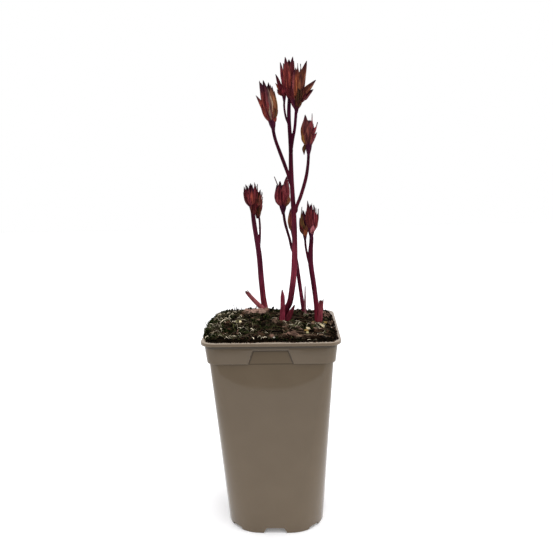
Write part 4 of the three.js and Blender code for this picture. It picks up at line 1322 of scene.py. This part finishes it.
# Each stem: its routes, from the soil or a fork to a leaf head, each with radii spread along it.
STEMS = {
    "stem_left": (
        (
            rooted(
                (-10.4, 44, 221.5), (-12, 42.7, 233.7), (-14, 41.3, 260), (-15.5, 40, 287),
                (-18.3, 38.7, 308), (-20.4, 37.3, 325.5), (-21.6, 36, 339),
            ),
            (3.2, 3.2, 3, 2.8, 2.4, 2.1),
        ),
        (
            [
                (-16, 39.8, 291), (-14.6, 39.8, 301), (-13.9, 40.2, 314), (-14.1, 40.6, 325),
                (-15.3, 41, 335.2),
            ],
            (1.1, 1.2, 1.1),
        ),
    ),
    "stem_main": (
        (
            rooted(
                (10, 4, 221), (14, 4.4, 230.5), (18.4, 4.7, 238), (21.3, 5.1, 252),
                (24.2, 5.5, 275), (25.2, 5.8, 297), (25.2, 6.2, 324), (23.8, 6.5, 356),
                (22.7, 6.9, 381), (22.6, 7.3, 405), (21.3, 7.6, 437), (22.3, 8, 457),
            ),
            (3.2, 3, 3, 2.9, 2.8, 2.3, 2.2, 1.9, 1.6),
        ),
        (
            [
                (24.6, 5.8, 331), (28.4, 3, 344), (31.9, 0.8, 352.5), (35.8, -1.4, 364.5),
                (38.6, -3.8, 375.5), (40.4, -6.8, 389), (40.9, -9.4, 400.4),
            ],
            (1.6, 1.9, 1.7, 1.5),
        ),
        (
            [
                (23.3, 6, 363), (20.3, 4, 374), (15.8, 2, 387), (11.3, 0, 399.5), (7.2, -2, 411.5),
                (5.3, -4, 420.5), (4.7, -6, 426.2),
            ],
            (1.6, 1.9, 1.7, 1.7),
        ),
        (
            [
                (21.8, 7.7, 418), (20.6, 9, 428), (18.3, 10.2, 434.5), (16.6, 11, 445),
                (16.7, 12, 454.9),
            ],
            (1, 1.1, 1),
        ),
        (
            [
                (22.6, 7, 395.5), (23.6, 6.4, 403.5), (25.3, 6, 414), (27, 5.7, 422.5),
                (28.1, 5.4, 432), (29.2, 5, 444.6),
            ],
            (1.4, 1.6, 1.5),
        ),
    ),
    "stem_behind": (
        (
            rooted(
                (34.6, 40.5, 218.2), (33.3, 41, 227), (30.8, 40.6, 247), (28.7, 39.3, 264),
                (27.2, 36.8, 277), (25.3, 34.2, 287), (22, 31.7, 294.5), (19.5, 29.1, 306),
                (14.8, 26.6, 324.5), (13, 24, 339.6),
            ),
            (2.2, 2, 1.9, 1.8, 1.5, 1.3, 1.3),
        ),
        (
            [(26.4, 35.6, 282), (24.8, 31.5, 294.5), (24, 27.3, 304), (23.3, 24, 312.9)],
            (1.2, 1.3, 1.2),
        ),
    ),
    "stem_right": (
        (
            rooted(
                (48.9, 7, 216.4), (48.4, 7.6, 228.5), (47.3, 8, 240.5), (45.1, 8.2, 259.5),
                (42.2, 7.9, 282), (42.4, 6.9, 296), (43.2, 5.4, 307), (43, 4, 313.4),
            ),
            (3, 2.8, 2.5, 2.5, 2.6, 2.2, 1.9),
        ),
        (
            [
                (42.6, 8.4, 276), (39.9, 8.7, 284), (38.3, 9, 291.5), (36.9, 9.5, 300.5),
                (36.4, 10, 310.7),
            ],
            (1.1, 1.3, 1.2),
        ),
    ),
}

# Each stem's colours by height, from its foot up.
STEM_TONES = {
    "stem_left": (
        (212, (0.42, 0.1, 0.12)), (232, (0.3, 0.045, 0.06)), (245, (0.17, 0.018, 0.035)),
        (262, (0.135, 0.018, 0.04)), (290, (0.11, 0.015, 0.035)), (340, (0.055, 0.007, 0.017)),
    ),
    "stem_main": (
        # The main stem's dark stop at 232 is painted shade, low on the stem just above the soil.
        (212, (0.16, 0.01, 0.022)), (232, (0.045, 0.003, 0.008)), (247, (0.1, 0.011, 0.022)),
        (262, (0.19, 0.025, 0.044)), (300, (0.165, 0.022, 0.04)), (335, (0.105, 0.011, 0.023)),
        (370, (0.072, 0.008, 0.019)), (400, (0.04, 0.004, 0.012)), (440, (0.055, 0.005, 0.022)),
        (462, (0.035, 0.003, 0.012)),
    ),
    "stem_behind": (
        (212, (0.13, 0.014, 0.03)), (240, (0.15, 0.019, 0.04)), (270, (0.095, 0.011, 0.025)),
        (340, (0.04, 0.005, 0.013)),
    ),
    "stem_right": (
        (212, (0.2, 0.02, 0.03)), (230, (0.15, 0.014, 0.028)), (255, (0.14, 0.014, 0.032)),
        (285, (0.09, 0.01, 0.024)), (315, (0.035, 0.003, 0.009)),
    ),
}


def stem_tube(route, radii, skin, phase):
    """A stem's skin: not quite round, with ribs that wind slowly round it."""
    steps = 14 * len(route)
    points, along = spline(route, steps)
    side = unit(np.cross([0, 1, 0], along))
    forward = np.cross(along, side)
    share = np.linspace(0, 1, steps)
    radius = np.interp(share, np.linspace(0, 1, len(radii)), radii)
    angle = np.arange(STEM_SIDES) / STEM_SIDES * 2 * math.pi
    wind = angle[None] + STEM_WIND * share[:, None] + phase
    oval = OVAL * np.cos(2 * angle[None] + 3 * share[:, None])
    ribbed = 1 + RIB_HEIGHT * np.cos(STEM_RIBS * wind) + oval
    swollen = 1 + SWELLING * np.sin(points[:, 2] * 0.16 + phase) * np.sin(points[:, 2] * 0.047)
    size = (radius * swollen + skin)[:, None] * ribbed
    rings = (
        points[:, None]
        + side[:, None] * (size * np.cos(angle))[..., None]
        + forward[:, None] * (size * np.sin(angle))[..., None]
    )
    return rings, ring_faces(steps, STEM_SIDES)


def make_stems():
    """The stems, each with its branches melted into it at their forks."""
    shape, faces = ball(3)
    for name, branches in STEMS.items():
        skin = Piece(name)
        for number, (route, radii) in enumerate(branches):
            skin.add(*stem_tube(route, radii, BRANCH_SKIN if number else STEM_SKIN, 1.7 * number))
            if number:
                fork = mix(np.array(route[1]), route[0], 0.3)
                skin.add(shape * radii[0] * (1.3, 1.3, 2.6) + fork, [faces])
        remesh = ("REMESH", {"mode": "VOXEL", "voxel_size": STEM_VOXEL * MM})
        smooth = ("SMOOTH", {"factor": 0.5, "iterations": 5})
        mesh = modified(name, skin.mesh(), remesh, smooth)
        settle(f"{name}_skin", mesh, stem_look(f"{name}_skin", STEM_TONES[name]), [name])


# The leaf heads

# How far from its head's axis a leaflet starts, and where along its length it is furthest out.
ROOT_RADIUS = 1.6
BELLY_AT = 0.42
HIGH_BELLY = {"leaves_upper_right": 0.58}
# How far a leaflet that spreads rolls over, how sharply it is folded, and how deep its keel is.
ROLL = 0.95
FOLD = math.pi / 5.2
KEEL = 0.45
BLADE_ROWS = 22
BLADE_COLUMNS = 9
# A leaflet's width along its length, as shares of its widest.
WIDTH_PLACES = (0, 0.12, 0.25, 0.38, 0.52, 0.66, 0.78, 0.88, 0.95, 1)
WIDTH_SHARES = (0.45, 0.74, 0.94, 1.0, 0.98, 0.86, 0.64, 0.4, 0.22, 0.05)

BRICK = (0.215, 0.038, 0.03)
CRIMSON = (0.13, 0.015, 0.022)
WINE = (0.075, 0.01, 0.013)
PLUM = (0.055, 0.01, 0.026)
ROSE = (0.25, 0.062, 0.066)
UMBER = (0.07, 0.032, 0.012)
AMBER = (0.22, 0.085, 0.022)
RUST = (0.27, 0.075, 0.032)
GOLD = (0.24, 0.15, 0.045)
GREY = (0.24, 0.155, 0.115)
MAUVE = (0.13, 0.032, 0.038)
SIENNA = (0.16, 0.055, 0.028)
BLACKISH = (0.03, 0.018, 0.006)
PINK = (0.34, 0.1, 0.12)
RUSSET = (0.145, 0.042, 0.034)
CHERRY = (0.18, 0.03, 0.04)


# Each cluster: where its stalk ends, its lean, its core's radius and height, how far its side
# lobes reach, and its leaflets as azimuth in degrees, root height, length, belly radius, tip
# radius, width, tone and how much of it is a bare thread at the tip.
HEADS = {
    "leaves_left": (
        (
            (-21.6, 36, 339), (-0.05, 0), (3.8, 16), 0.95,
            (
                (195, 1.5, 24.5, 8, 7.5, 8, WINE, 0), (172, 1.5, 18, 7.5, 9, 7, WINE, 0),
                (222, 2, 26, 7, 7, 7, CRIMSON, 0.14), (248, 2, 25, 7, 3.6, 8, CHERRY, 0.12),
                (320, 2, 27.5, 6.5, 6.7, 7, CHERRY, 0.14), (345, 2, 25.5, 7, 8.7, 7, WINE, 0.14),
                (0, 2, 19.2, 7, 11.3, 6, UMBER, 0), (285, 2, 22, 7, 5, 9, BRICK, 0.12),
                (350, -8, 14, 4, 4.5, 7, WINE, 0), (320, -7, 20, 4.6, 5, 8, WINE, 0),
                (40, 2, 26, 7, 7, 9, WINE, 0), (90, 2, 27, 7, 5, 9, WINE, 0),
                (135, 2, 25, 7.5, 7, 9, WINE, 0),
            ),
        ),
        (
            (-15.3, 41, 335.2), (0.05, 0.05), (3, 12), 0.95,
            (
                (320, 1.5, 23.5, 4.5, 1.6, 7, RUSSET, 0), (300, -7, 18, 3.6, 3, 7, UMBER, 0),
                (345, -6, 15, 3.2, 3.8, 6, SIENNA, 0), (338, 8, 15, 3.4, 4.4, 4, BRICK, 0.1),
                (344, 5, 12.5, 3.8, 5.2, 4, RUSSET, 0.1), (338, 1, 11.5, 3.9, 5.3, 4.4, CHERRY, 0.1),
                (344, -2, 10, 3.8, 5, 4.4, BRICK, 0.1), (187, -7, 14.5, 3.6, 3.6, 7, WINE, 0),
                (80, 1.5, 22, 4.5, 3, 7, WINE, 0), (215, 1.5, 20, 5, 5, 6, CRIMSON, 0),
            ),
        ),
    ),
    "leaves_top": (
        (
            (22.3, 8, 457), (0, 0), (4, 20), 0.7,
            (
                (215, 2, 35, 6.5, 5, 13, BRICK, 0), (325, 2, 35, 6.5, 5.2, 12, WINE, 0),
                (183, 1.5, 31, 8, 9.2, 10, CRIMSON, 0), (265, 2, 26, 6.8, 4.5, 10, BRICK, 0),
                (40, 2, 32, 7, 7, 12, WINE, 0), (90, 2, 34, 6.5, 5, 12, BRICK, 0),
                (140, 1.5, 31, 7.5, 8, 11, WINE, 0), (235, -4, 18, 4.4, 5.5, 9, CRIMSON, 0),
                (300, -5, 20, 4.4, 5.5, 9, PLUM, 0), (350, -4, 18, 4.4, 5, 8, WINE, 0),
            ),
        ),
        (
            (16.7, 12, 454.9), (0, 0), (2.6, 12), 0.35,
            (
                (190, 1.5, 22, 6, 8.8, 8, CRIMSON, 0), (176, 1.5, 13.5, 5.5, 9, 6, RUST, 0),
                (330, 1.5, 20, 4.5, 4, 8, WINE, 0), (290, 0.5, 14, 4.5, 4, 7, CRIMSON, 0),
            ),
        ),
        (
            (29.2, 5, 444.6), (0, 0), (4.2, 22), 0.84,
            (
                (318, 1.5, 41.5, 8.6, 15, 12, SIENNA, 0), (330, 2, 39.8, 7, 6, 10, UMBER, 0.08),
                (302, 0, 24, 8.8, 8, 6, BLACKISH, 0), (275, -3, 19, 5.4, 5.5, 8, BLACKISH, 0),
                (345, -2.5, 14, 5.4, 8.6, 8, UMBER, 0), (205, -3, 21, 6, 6, 9, PLUM, 0),
                (290, 2, 39.9, 7, 6, 11, RUST, 0.08), (338, 2, 22.8, 8.6, 21.6, 9, SIENNA, 0),
                (352, 2, 14.5, 9, 17.8, 9, WINE, 0), (30, 2, 34, 8, 7, 11, UMBER, 0),
                (200, 0.5, 26, 7, 6, 10, WINE, 0), (90, 2, 37, 7.5, 6, 12, WINE, 0),
                (245, 2, 34, 6.5, 5, 11, ROSE, 0), (268, 2, 36, 7, 4.5, 9, RUST, 0),
            ),
        ),
    ),
    "leaves_upper_left": (
        (
            (4.7, -6, 426.2), (-0.16, -0.04), (4.4, 24), 0.75,
            (
                (200, 1.5, 29.5, 7.5, 12.1, 9, BRICK, 0), (232, 2, 35.4, 8, 8.6, 11, BRICK, 0),
                (190, 2, 42.5, 6.5, 5.5, 9, PLUM, 0), (204, 2, 41.5, 7, 6.2, 11, MAUVE, 0),
                (228, 2, 40, 7.4, 6.4, 11, MAUVE, 0), (340, 2, 35, 8.2, 7, 10, UMBER, 0),
                (256, 2, 38.5, 8.2, 5.4, 10, MAUVE, 0), (288, 2, 36, 8.8, 5, 8, GREY, 0),
                (322, 2, 36.5, 8.4, 6.5, 9, SIENNA, 0), (352, 2, 30, 8, 8, 10, GOLD, 0),
                (345, 0.5, 12, 5.4, 4, 8, BRICK, 0), (55, 2, 40, 8, 6, 12, WINE, 0),
                (110, 2, 43, 8, 5, 12, WINE, 0), (155, 2, 38, 7.5, 7, 9, PLUM, 0),
                (262, 2, 34, 8, 4.5, 11, CRIMSON, 0),
            ),
        ),
    ),
    "leaves_upper_right": (
        (
            (40.9, -9.4, 400.4), (0.02, 0), (3.8, 18), 0.7,
            (
                (215, 1.5, 33, 7.8, 5, 12, RUSSET, 0), (262, 2, 27, 7, 4, 11, RUSSET, 0),
                (300, 2, 33.3, 6.4, 6.6, 9, CHERRY, 0.22), (335, 2, 25, 7, 10, 10, CHERRY, 0.2),
                (20, 2, 24, 6, 5, 9, WINE, 0), (70, 2, 28, 6.5, 4, 11, WINE, 0),
                (120, 2, 28, 7, 3, 11, WINE, 0), (165, 1.5, 25, 8.2, 5, 11, AMBER, 0),
                (188, 1.5, 28, 8.2, 5.5, 9, AMBER, 0), (192, 12, -17, 5.4, 4.7, 4.6, UMBER, 0),
            ),
        ),
    ),
    "leaves_mid_left": (
        (
            (13, 24, 339.6), (-0.02, 0), (4.6, 18), 0.85,
            (
                (188, 18, 17, 5.0, 8.6, 3.2, PLUM, 0.7), (195, 1, 24.5, 8.8, 6.4, 11, CHERRY, 0),
                (233, 2, 28, 8.5, 4.5, 11, CRIMSON, 0), (325, 2, 33.5, 8, 7.6, 14, CHERRY, 0),
                (352, 0.5, 17, 8.2, 6.5, 10, SIENNA, 0), (277, 1.5, 24, 8.5, 3.5, 12, CRIMSON, 0),
                (35, 2, 28, 8.5, 4.5, 12, WINE, 0), (90, 2, 24, 8.5, 4, 12, WINE, 0),
                (145, 2, 25, 8.5, 4, 11, WINE, 0),
            ),
        ),
    ),
    "leaves_mid_right": (
        (
            (23.3, 24, 312.9), (0, 0), (2.8, 16), 0.7,
            (
                (180, 1, 26, 5.2, 2.5, 7, SIENNA, 0), (252, 1.5, 28, 5, 3, 8, BRICK, 0),
                (324, 1.5, 29, 5, 3.5, 8, BRICK, 0), (36, 1.5, 28, 5, 4, 8, WINE, 0),
                (108, 1.5, 27, 5, 3, 8, WINE, 0),
            ),
        ),
    ),
    "leaves_right": (
        (
            (43, 4, 313.4), (0.03, 0), (3.8, 16), 0.95,
            (
                (215, 2, 33.4, 6, 6, 8, WINE, 0), (268, 2, 31, 6.6, 4.4, 6, CRIMSON, 0.16),
                (292, 2, 29, 7, 5, 7, CHERRY, 0.16), (320, 2, 26, 7, 6, 7, CRIMSON, 0.14),
                (345, 2, 25, 7, 7.6, 8, BRICK, 0.15), (290, -1, 13, 6.4, 6, 6, PINK, 0),
                (5, 1.5, 16.8, 6.5, 5.6, 7, ROSE, 0), (350, 1, 11.7, 5, 4.9, 7, ROSE, 0),
                (252, 2, 28, 6.5, 3.5, 8, WINE, 0), (50, 2, 27, 6.5, 5, 9, WINE, 0),
                (100, 2, 29, 6.5, 4, 9, WINE, 0), (155, 2, 30, 6.5, 5, 9, WINE, 0),
            ),
        ),
        (
            (36.4, 10, 310.7), (-0.04, 0.03), (3, 14), 0.9,
            (
                (215, 1.5, 30, 5, 2.4, 7, UMBER, 0.14), (190, 1.5, 18.7, 5.3, 4.9, 7, WINE, 0),
                (300, -2, 14, 4.4, 3, 6, RUST, 0), (175, 1, 11, 5, 5.3, 6, UMBER, 0),
                (90, 1.5, 26, 5, 3, 7, WINE, 0), (325, 1.5, 22, 7, 6.5, 7, SIENNA, 0),
            ),
        ),
    ),
}

# The neck below a head, in heights and in shares of its core's radius, and the core above it.
NECK_HEIGHTS = (-6, -4, -2.4, -1)
NECK_RADII = (0.36, 0.44, 0.54, 0.65)
CORE_PLACES = (0, 0.15, 0.4, 0.7, 1)
CORE_RADII = (0.72, 0.85, 0.95, 0.7, 0.05)
CORE_SIDES = 14
CORE_ROWS = 12
# Half widths of a bare thread and of a tip.
THREAD_HALF = 0.75
TIP_HALF = 0.2
# A leaflet's midrib, how wavy its margins are, its thickness there, and how much more it has at
# its middle.
MIDRIB_HEIGHT = 0.22
MIDRIB_WIDTH = 0.14
WAVE = 0.07
EDGE_THICKNESS = 0.12
MORE_THICKNESS = 0.3
# Leaflets at least this long have two side lobes.
LOBED_FROM = 12
INNER_LEAFLETS = 5


def add_plate(piece, outer, inner, across, along, chance, tone):
    """Adds a thin plate between two grids of points, with what its look needs to know at each."""
    spot = np.stack(np.broadcast_arrays(across[None], along[:, None], chance), axis=-1).reshape(-1, 3)
    piece.add(
        np.concatenate([outer.reshape(-1, 3), inner.reshape(-1, 3)]),
        plate_faces(len(along), len(across)),
        tone=tone,
        blade=np.vstack([spot, spot]),
    )


def blade(piece, base, axis, shape, tone, random, bare=0.0, belly_at=BELLY_AT):
    """A folded leaflet, with a raised midrib, wavy margins and a fine tip. It rolls as it spreads."""
    azimuth, root_height, length, belly, tip, width = shape
    turn = math.radians(azimuth)
    away = np.array([math.cos(turn), math.sin(turn), 0])
    away = unit(away - axis * (away @ axis))
    side = np.cross(axis, away)
    heights = (root_height, root_height + belly_at * length, root_height + length)
    route = [base + away * radius + axis * z for radius, z in zip((ROOT_RADIUS, belly, tip), heights)]
    middle, along = spline(route, BLADE_ROWS)
    outward = unit(np.cross(side, along * math.copysign(1, length)))
    rise = np.linspace(0, 1, BLADE_ROWS)
    place = np.linspace(-1, 1, BLADE_COLUMNS)
    spread = 1 if length < 0 else min(max(2 * (tip - belly) / length, 0), 1)
    roll = (math.copysign(ROLL * spread, side[1]) * np.minimum(2 * rise, 1))[:, None]
    outward, side = (
        outward * np.cos(roll) - side * np.sin(roll),
        side * np.cos(roll) + outward * np.sin(roll),
    )
    half = width / 2 * np.interp(rise / (1 - bare), WIDTH_PLACES, WIDTH_SHARES)
    half = np.maximum(half, mix(THREAD_HALF, TIP_HALF, rise**6) if bare else TIP_HALF)[:, None]
    fullness = np.minimum(half / 2, 1)
    fold = FOLD * (0.35 + 0.9 * np.abs(place)) * random.uniform(0.85, 1.15)
    across = half * np.sin(fold) / fold * place
    inward = half * (1 - np.cos(fold)) / fold * np.abs(place) + half * KEEL * np.abs(place)
    phase = random.uniform(0, 6) + 2 * (place > 0)
    wave = WAVE * half * np.sin(rise[:, None] * random.uniform(14, 22) + phase)
    rib = MIDRIB_HEIGHT * np.exp(-((place / MIDRIB_WIDTH) ** 2)) * fullness
    lift = rib - inward + wave * place**2
    outer = middle[:, None] + side[:, None] * across[..., None] + outward[:, None] * lift[..., None]
    thick = EDGE_THICKNESS + MORE_THICKNESS * (1 - place**2) * fullness
    thick = thick + np.where(rise > 1 - bare, THREAD_HALF, 0)[:, None] * (1 - place**2)
    inner = outer - outward[:, None] * thick[..., None]
    add_plate(piece, outer, inner, place, rise, random.uniform(0, 1), tone)


def side_lobe(random, shape, lobed, bare, way):
    """The shape of a leaflet's side lobe: shorter, narrower and turned to one side."""
    azimuth, root_height, length, belly, tip, width = shape
    swing = way * random.uniform(12, 20) * width / 8
    short = length * lobed * random.uniform(0.82, 1.0) * (1 - 0.5 * bare)
    lobe_belly = belly - random.uniform(0.4, 1.0)
    lobe_tip = mix(belly, min(tip, 1.3 * belly), 0.85) + random.uniform(-0.7, 0.5)
    return azimuth + swing, root_height, short, lobe_belly, lobe_tip, width * random.uniform(0.45, 0.62)


def inner_leaflet(random, number, longest, radius):
    """The shape of one of the leaflets that stand inside a head, close round its core."""
    azimuth = number * 360 / INNER_LEAFLETS + random.uniform(-15, 15)
    length = longest * random.uniform(0.75, 0.95)
    return azimuth, 3, length, radius * 0.95, radius * random.uniform(0.4, 0.9), radius * 1.3


def head_core(piece, base, axis, radius, height, tone):
    """The dark middle of a head, which its leaflets wrap, with a neck that runs into the stalk."""
    angle = np.arange(CORE_SIDES) / CORE_SIDES * 2 * math.pi
    share = np.linspace(0, 1, CORE_ROWS)
    heights = np.concatenate([NECK_HEIGHTS, height * share])
    radii = radius * np.concatenate([NECK_RADII, np.interp(share, CORE_PLACES, CORE_RADII)])
    side = unit(np.cross([0, 1, 0], axis))
    forward = np.cross(axis, side)
    around = side * np.cos(angle)[:, None] + forward * np.sin(angle)[:, None]
    rings = [base + axis * z + out * around for z, out in zip(heights, radii)]
    piece.add(np.vstack(rings), ring_faces(len(rings), CORE_SIDES), tone=tone, blade=(0.5, 0.2, 0.5))


def make_heads():
    """The leaf heads, each of one or more clusters of leaflets round a core."""
    random = np.random.default_rng(77)
    look = leaf_look()
    for name, clusters in HEADS.items():
        head = Piece(name)
        belly_at = HIGH_BELLY.get(name, BELLY_AT)
        for base, lean, (radius, height), lobed, leaflets in clusters:
            base = np.array(base, float)
            axis = unit([*lean, 1])
            # The core takes the dark plum tone as painted shade deep inside the head.
            head_core(head, base, axis, radius, height, PLUM)
            for *shape, tone, bare in leaflets:
                tone = np.array(tone) * random.uniform(0.88, 1.12)
                blade(head, base, axis, shape, tone, random, bare, belly_at)
                for way in (-1, 1) if shape[2] >= LOBED_FROM else ():
                    lobe = side_lobe(random, shape, lobed, bare, way)
                    shade = random.uniform(0.7, 1.0)
                    blade(head, base, axis, lobe, tone * shade, random, belly_at=belly_at)
            longest = lobed * max(leaflet[2] for leaflet in leaflets)
            for number in range(INNER_LEAFLETS):
                shape = inner_leaflet(random, number, longest, radius)
                # The inner leaflets are plum too: painted shade inside the head.
                blade(head, base, axis, shape, np.array(PLUM), random)
        head.make(look, "young_leaf", name, sharp=70)


# The bud scales

# Each: its route, half widths spread along it, its bow, how torn its end is, and its tone.
SCALES = {
    "bud_scale_left": (
        [(-5, 40, 207), (-11, 38.6, 222), (-18.5, 38, 230), (-25.5, 37, 238), (-31.6, 36, 246)],
        (2.9, 3.2, 2.7, 2.4, 2.2), 0.8, 1.2, (0.42, 0.11, 0.12),
    ),
    "bud_scale_main": (
        [(9.6, -4, 207), (10.6, -3.2, 222), (11.2, -2.4, 236), (11.3, -2, 247), (11, -1.8, 254.5)],
        (2.4, 2.8, 2.6, 2.3, 0.5), 0.8, 0.2, (0.25, 0.027, 0.05),
    ),
    "bud_sheath_main": (
        [(13.5, 0, 206), (16.4, 0, 221), (20, 0, 229), (24.2, 0, 237)],
        (2.6, 3.2, 2.8, 0.6), 1.1, 0.3, (0.11, 0.01, 0.018),
    ),
    "bud_scale_behind": (
        [(36.4, 35.8, 206), (36, 36.2, 219), (36, 36.6, 233), (36.3, 37, 250.5)],
        (1.3, 1.3, 1.1, 0.5), 0.6, 0.2, (0.4, 0.16, 0.17),
    ),
    "bud_scale_right": (
        [(51, 2, 204), (51.2, 2.4, 216.5), (52, 2.8, 228.5), (53.2, 3.2, 241.5)],
        (2.6, 2.9, 2.7, 2.5), 0.8, 1.0, (0.24, 0.035, 0.05),
    ),
}
SCALE_ROWS = 34
SCALE_COLUMNS = 13
# A scale's furled edges, its fine ridges, its thickness at the edge, and how much more it has at
# its middle.
SCALE_FURL = 0.25
SCALE_RIDGE = 0.07
SCALE_EDGE = 0.2
SCALE_MORE = 0.25


def make_scales():
    """The bud scales: furled, ridged sheaths with torn ends."""
    random = np.random.default_rng(9)
    look = scale_look()
    place = np.linspace(-1, 1, SCALE_COLUMNS)
    rise = np.linspace(0, 1, SCALE_ROWS)
    for name, (route, widths, bow, torn, tone) in SCALES.items():
        middle, along = spline(route, SCALE_ROWS)
        side = unit(np.cross([0, 1, 0], along))
        forward = np.cross(along, side)
        half = np.interp(rise, np.linspace(0, 1, len(widths)), widths)
        ragged = torn * random.normal(0, 1, SCALE_COLUMNS) * rise[:, None] ** 6
        furl = SCALE_FURL * np.sin(rise[:, None] * 9 + 2 * place)
        ridge = SCALE_RIDGE * np.cos(place * 14)
        outer = (
            middle[:, None]
            + side[:, None] * (half[:, None] * place)[..., None]
            + forward[:, None] * (-bow * (1 - place**2) + furl * place**2 - ridge)[..., None]
            + along[:, None] * ragged[..., None]
        )
        thick = SCALE_EDGE + SCALE_MORE * (1 - place**2)
        inner = outer + forward[:, None] * thick[None, :, None]
        scale = Piece(name)
        add_plate(scale, outer, inner, place, rise, 0.5, tone)
        scale.make(look, "bud_scale", name)


# The studio

# The camera looks down by its pitch; its angles are degrees.
CAMERA_PLACE = (26.6, -600.6, 373.2)
CAMERA_PITCH = 9.87
CAMERA_PAN = -2.05
CAMERA_ROLL = -1.25
CAMERA_LENS = 36.92
# The table ends in front of the pot, whose plastic mirrors the darker room below the edge.
TABLE_EDGE = -424
TABLE_BACK = 3600
TABLE_HALF = 3000
TABLE_TONES = ((0.3, (0.93, 0.93, 0.93)), (0.7, (0.95, 0.95, 0.95)))
# Each lamp: its name, place, size and power in watts.
LAMPS = (
    ("light_top", (200, -250, 1600), (800, 800), 8),
    ("light_right", (1350, -100, 500), (600, 900), 2.2),
)
LAMP_AIM = (0, 0, 220)
# The room's light by the height that it comes from, from below the floor's level to overhead.
ROOM_LEVELS = ((0.001, 0.35), (0.03, 0.4), (0.35, 0.8), (0.999, 1.7))


def make_camera():
    """The camera, turned by its pan, then its pitch, then its roll."""
    pitch, pan, roll = (math.radians(angle) for angle in (CAMERA_PITCH, CAMERA_PAN, CAMERA_ROLL))
    ahead = Vector((math.sin(pan) * math.cos(pitch), math.cos(pan) * math.cos(pitch), -math.sin(pitch)))
    right = Vector((math.cos(pan), -math.sin(pan), 0))
    up = right.cross(ahead)
    level = right * math.cos(roll) + up * math.sin(roll)
    upright = up * math.cos(roll) - right * math.sin(roll)
    data = bpy.data.cameras.new("camera")
    data.lens = CAMERA_LENS
    camera = bpy.data.objects.new("camera", data)
    bpy.context.scene.collection.objects.link(camera)
    turn = Matrix((level, upright, -ahead)).transposed().to_4x4()
    camera.matrix_world = Matrix.Translation(Vector(CAMERA_PLACE) * MM) @ turn
    bpy.context.scene.camera = camera


def make_floor():
    """A pale table top that glows faintly, so that the pot's shadow on it stays soft."""
    floor = Piece("floor")
    near = [(-TABLE_HALF, TABLE_EDGE, 0), (TABLE_HALF, TABLE_EDGE, 0)]
    far = [(TABLE_HALF, TABLE_BACK, 0), (-TABLE_HALF, TABLE_BACK, 0)]
    floor.add(near + far, [[[0, 1, 2, 3]]])
    look = Look("floor", Roughness=0.6, Emission_Color=(1, 1, 1, 1), Emission_Strength=0.12)
    look.use("Base Color", look.ramp(look.noise(60, 2), *TABLE_TONES))
    mesh = floor.mesh()
    mesh.materials.append(look.material)
    table = bpy.data.objects.new("floor", mesh)
    bpy.context.scene.collection.objects.link(table)
    table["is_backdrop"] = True


def make_world():
    """White behind the object, and a bright room with a dark lower half around it."""
    world = bpy.data.worlds.new("studio")
    bpy.context.scene.world = world
    world.use_nodes = True
    tree = world.node_tree
    tree.nodes.clear()

    def add(kind, **options):
        node = tree.nodes.new("ShaderNode" + kind)
        for key, value in options.items():
            setattr(node, key, value)
        return node

    height = add("SeparateXYZ")
    tree.links.new(add("TexCoord").outputs["Generated"], height.inputs[0])
    room = add("ValToRGB")
    tree.links.new(height.outputs["Z"], room.inputs["Fac"])
    elements = room.color_ramp.elements
    while len(elements) < len(ROOM_LEVELS):
        elements.new(0.5)
    for element, (place, level) in zip(elements, ROOM_LEVELS):
        element.position = place
        element.color = (level, level, 1.02 * level, 1)
    around = add("Background")
    tree.links.new(room.outputs["Color"], around.inputs["Color"])
    behind = add("Background")
    behind.inputs["Color"].default_value = (1, 1, 1, 1)
    choice = add("MixShader")
    tree.links.new(add("LightPath").outputs["Is Camera Ray"], choice.inputs[0])
    tree.links.new(around.outputs[0], choice.inputs[1])
    tree.links.new(behind.outputs[0], choice.inputs[2])
    tree.links.new(choice.outputs[0], add("OutputWorld").inputs["Surface"])


def make_lamp(name, place, size, power):
    """A soft rectangular lamp that faces the plant."""
    data = bpy.data.lights.new(name, "AREA")
    data.shape = "RECTANGLE"
    data.size, data.size_y = (length * MM for length in size)
    data.energy = power
    lamp = bpy.data.objects.new(name, data)
    bpy.context.scene.collection.objects.link(lamp)
    lamp.location = Vector(place) * MM
    lamp.rotation_euler = (Vector(LAMP_AIM) - Vector(place)).to_track_quat("-Z", "Y").to_euler()


def make_studio():
    """The camera, the table, the room and its lamps."""
    make_camera()
    make_floor()
    make_world()
    for lamp in LAMPS:
        make_lamp(*lamp)
    bpy.context.scene.view_settings.view_transform = "Standard"


make_studio()
make_pot()
make_ground()
make_crumbs()
make_chips()
make_fibres()
make_strands()
make_overhang()
make_moss()
make_stems()
make_heads()
make_scales()

[[list(corner) for corner in box] for box in (cad_box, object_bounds())]
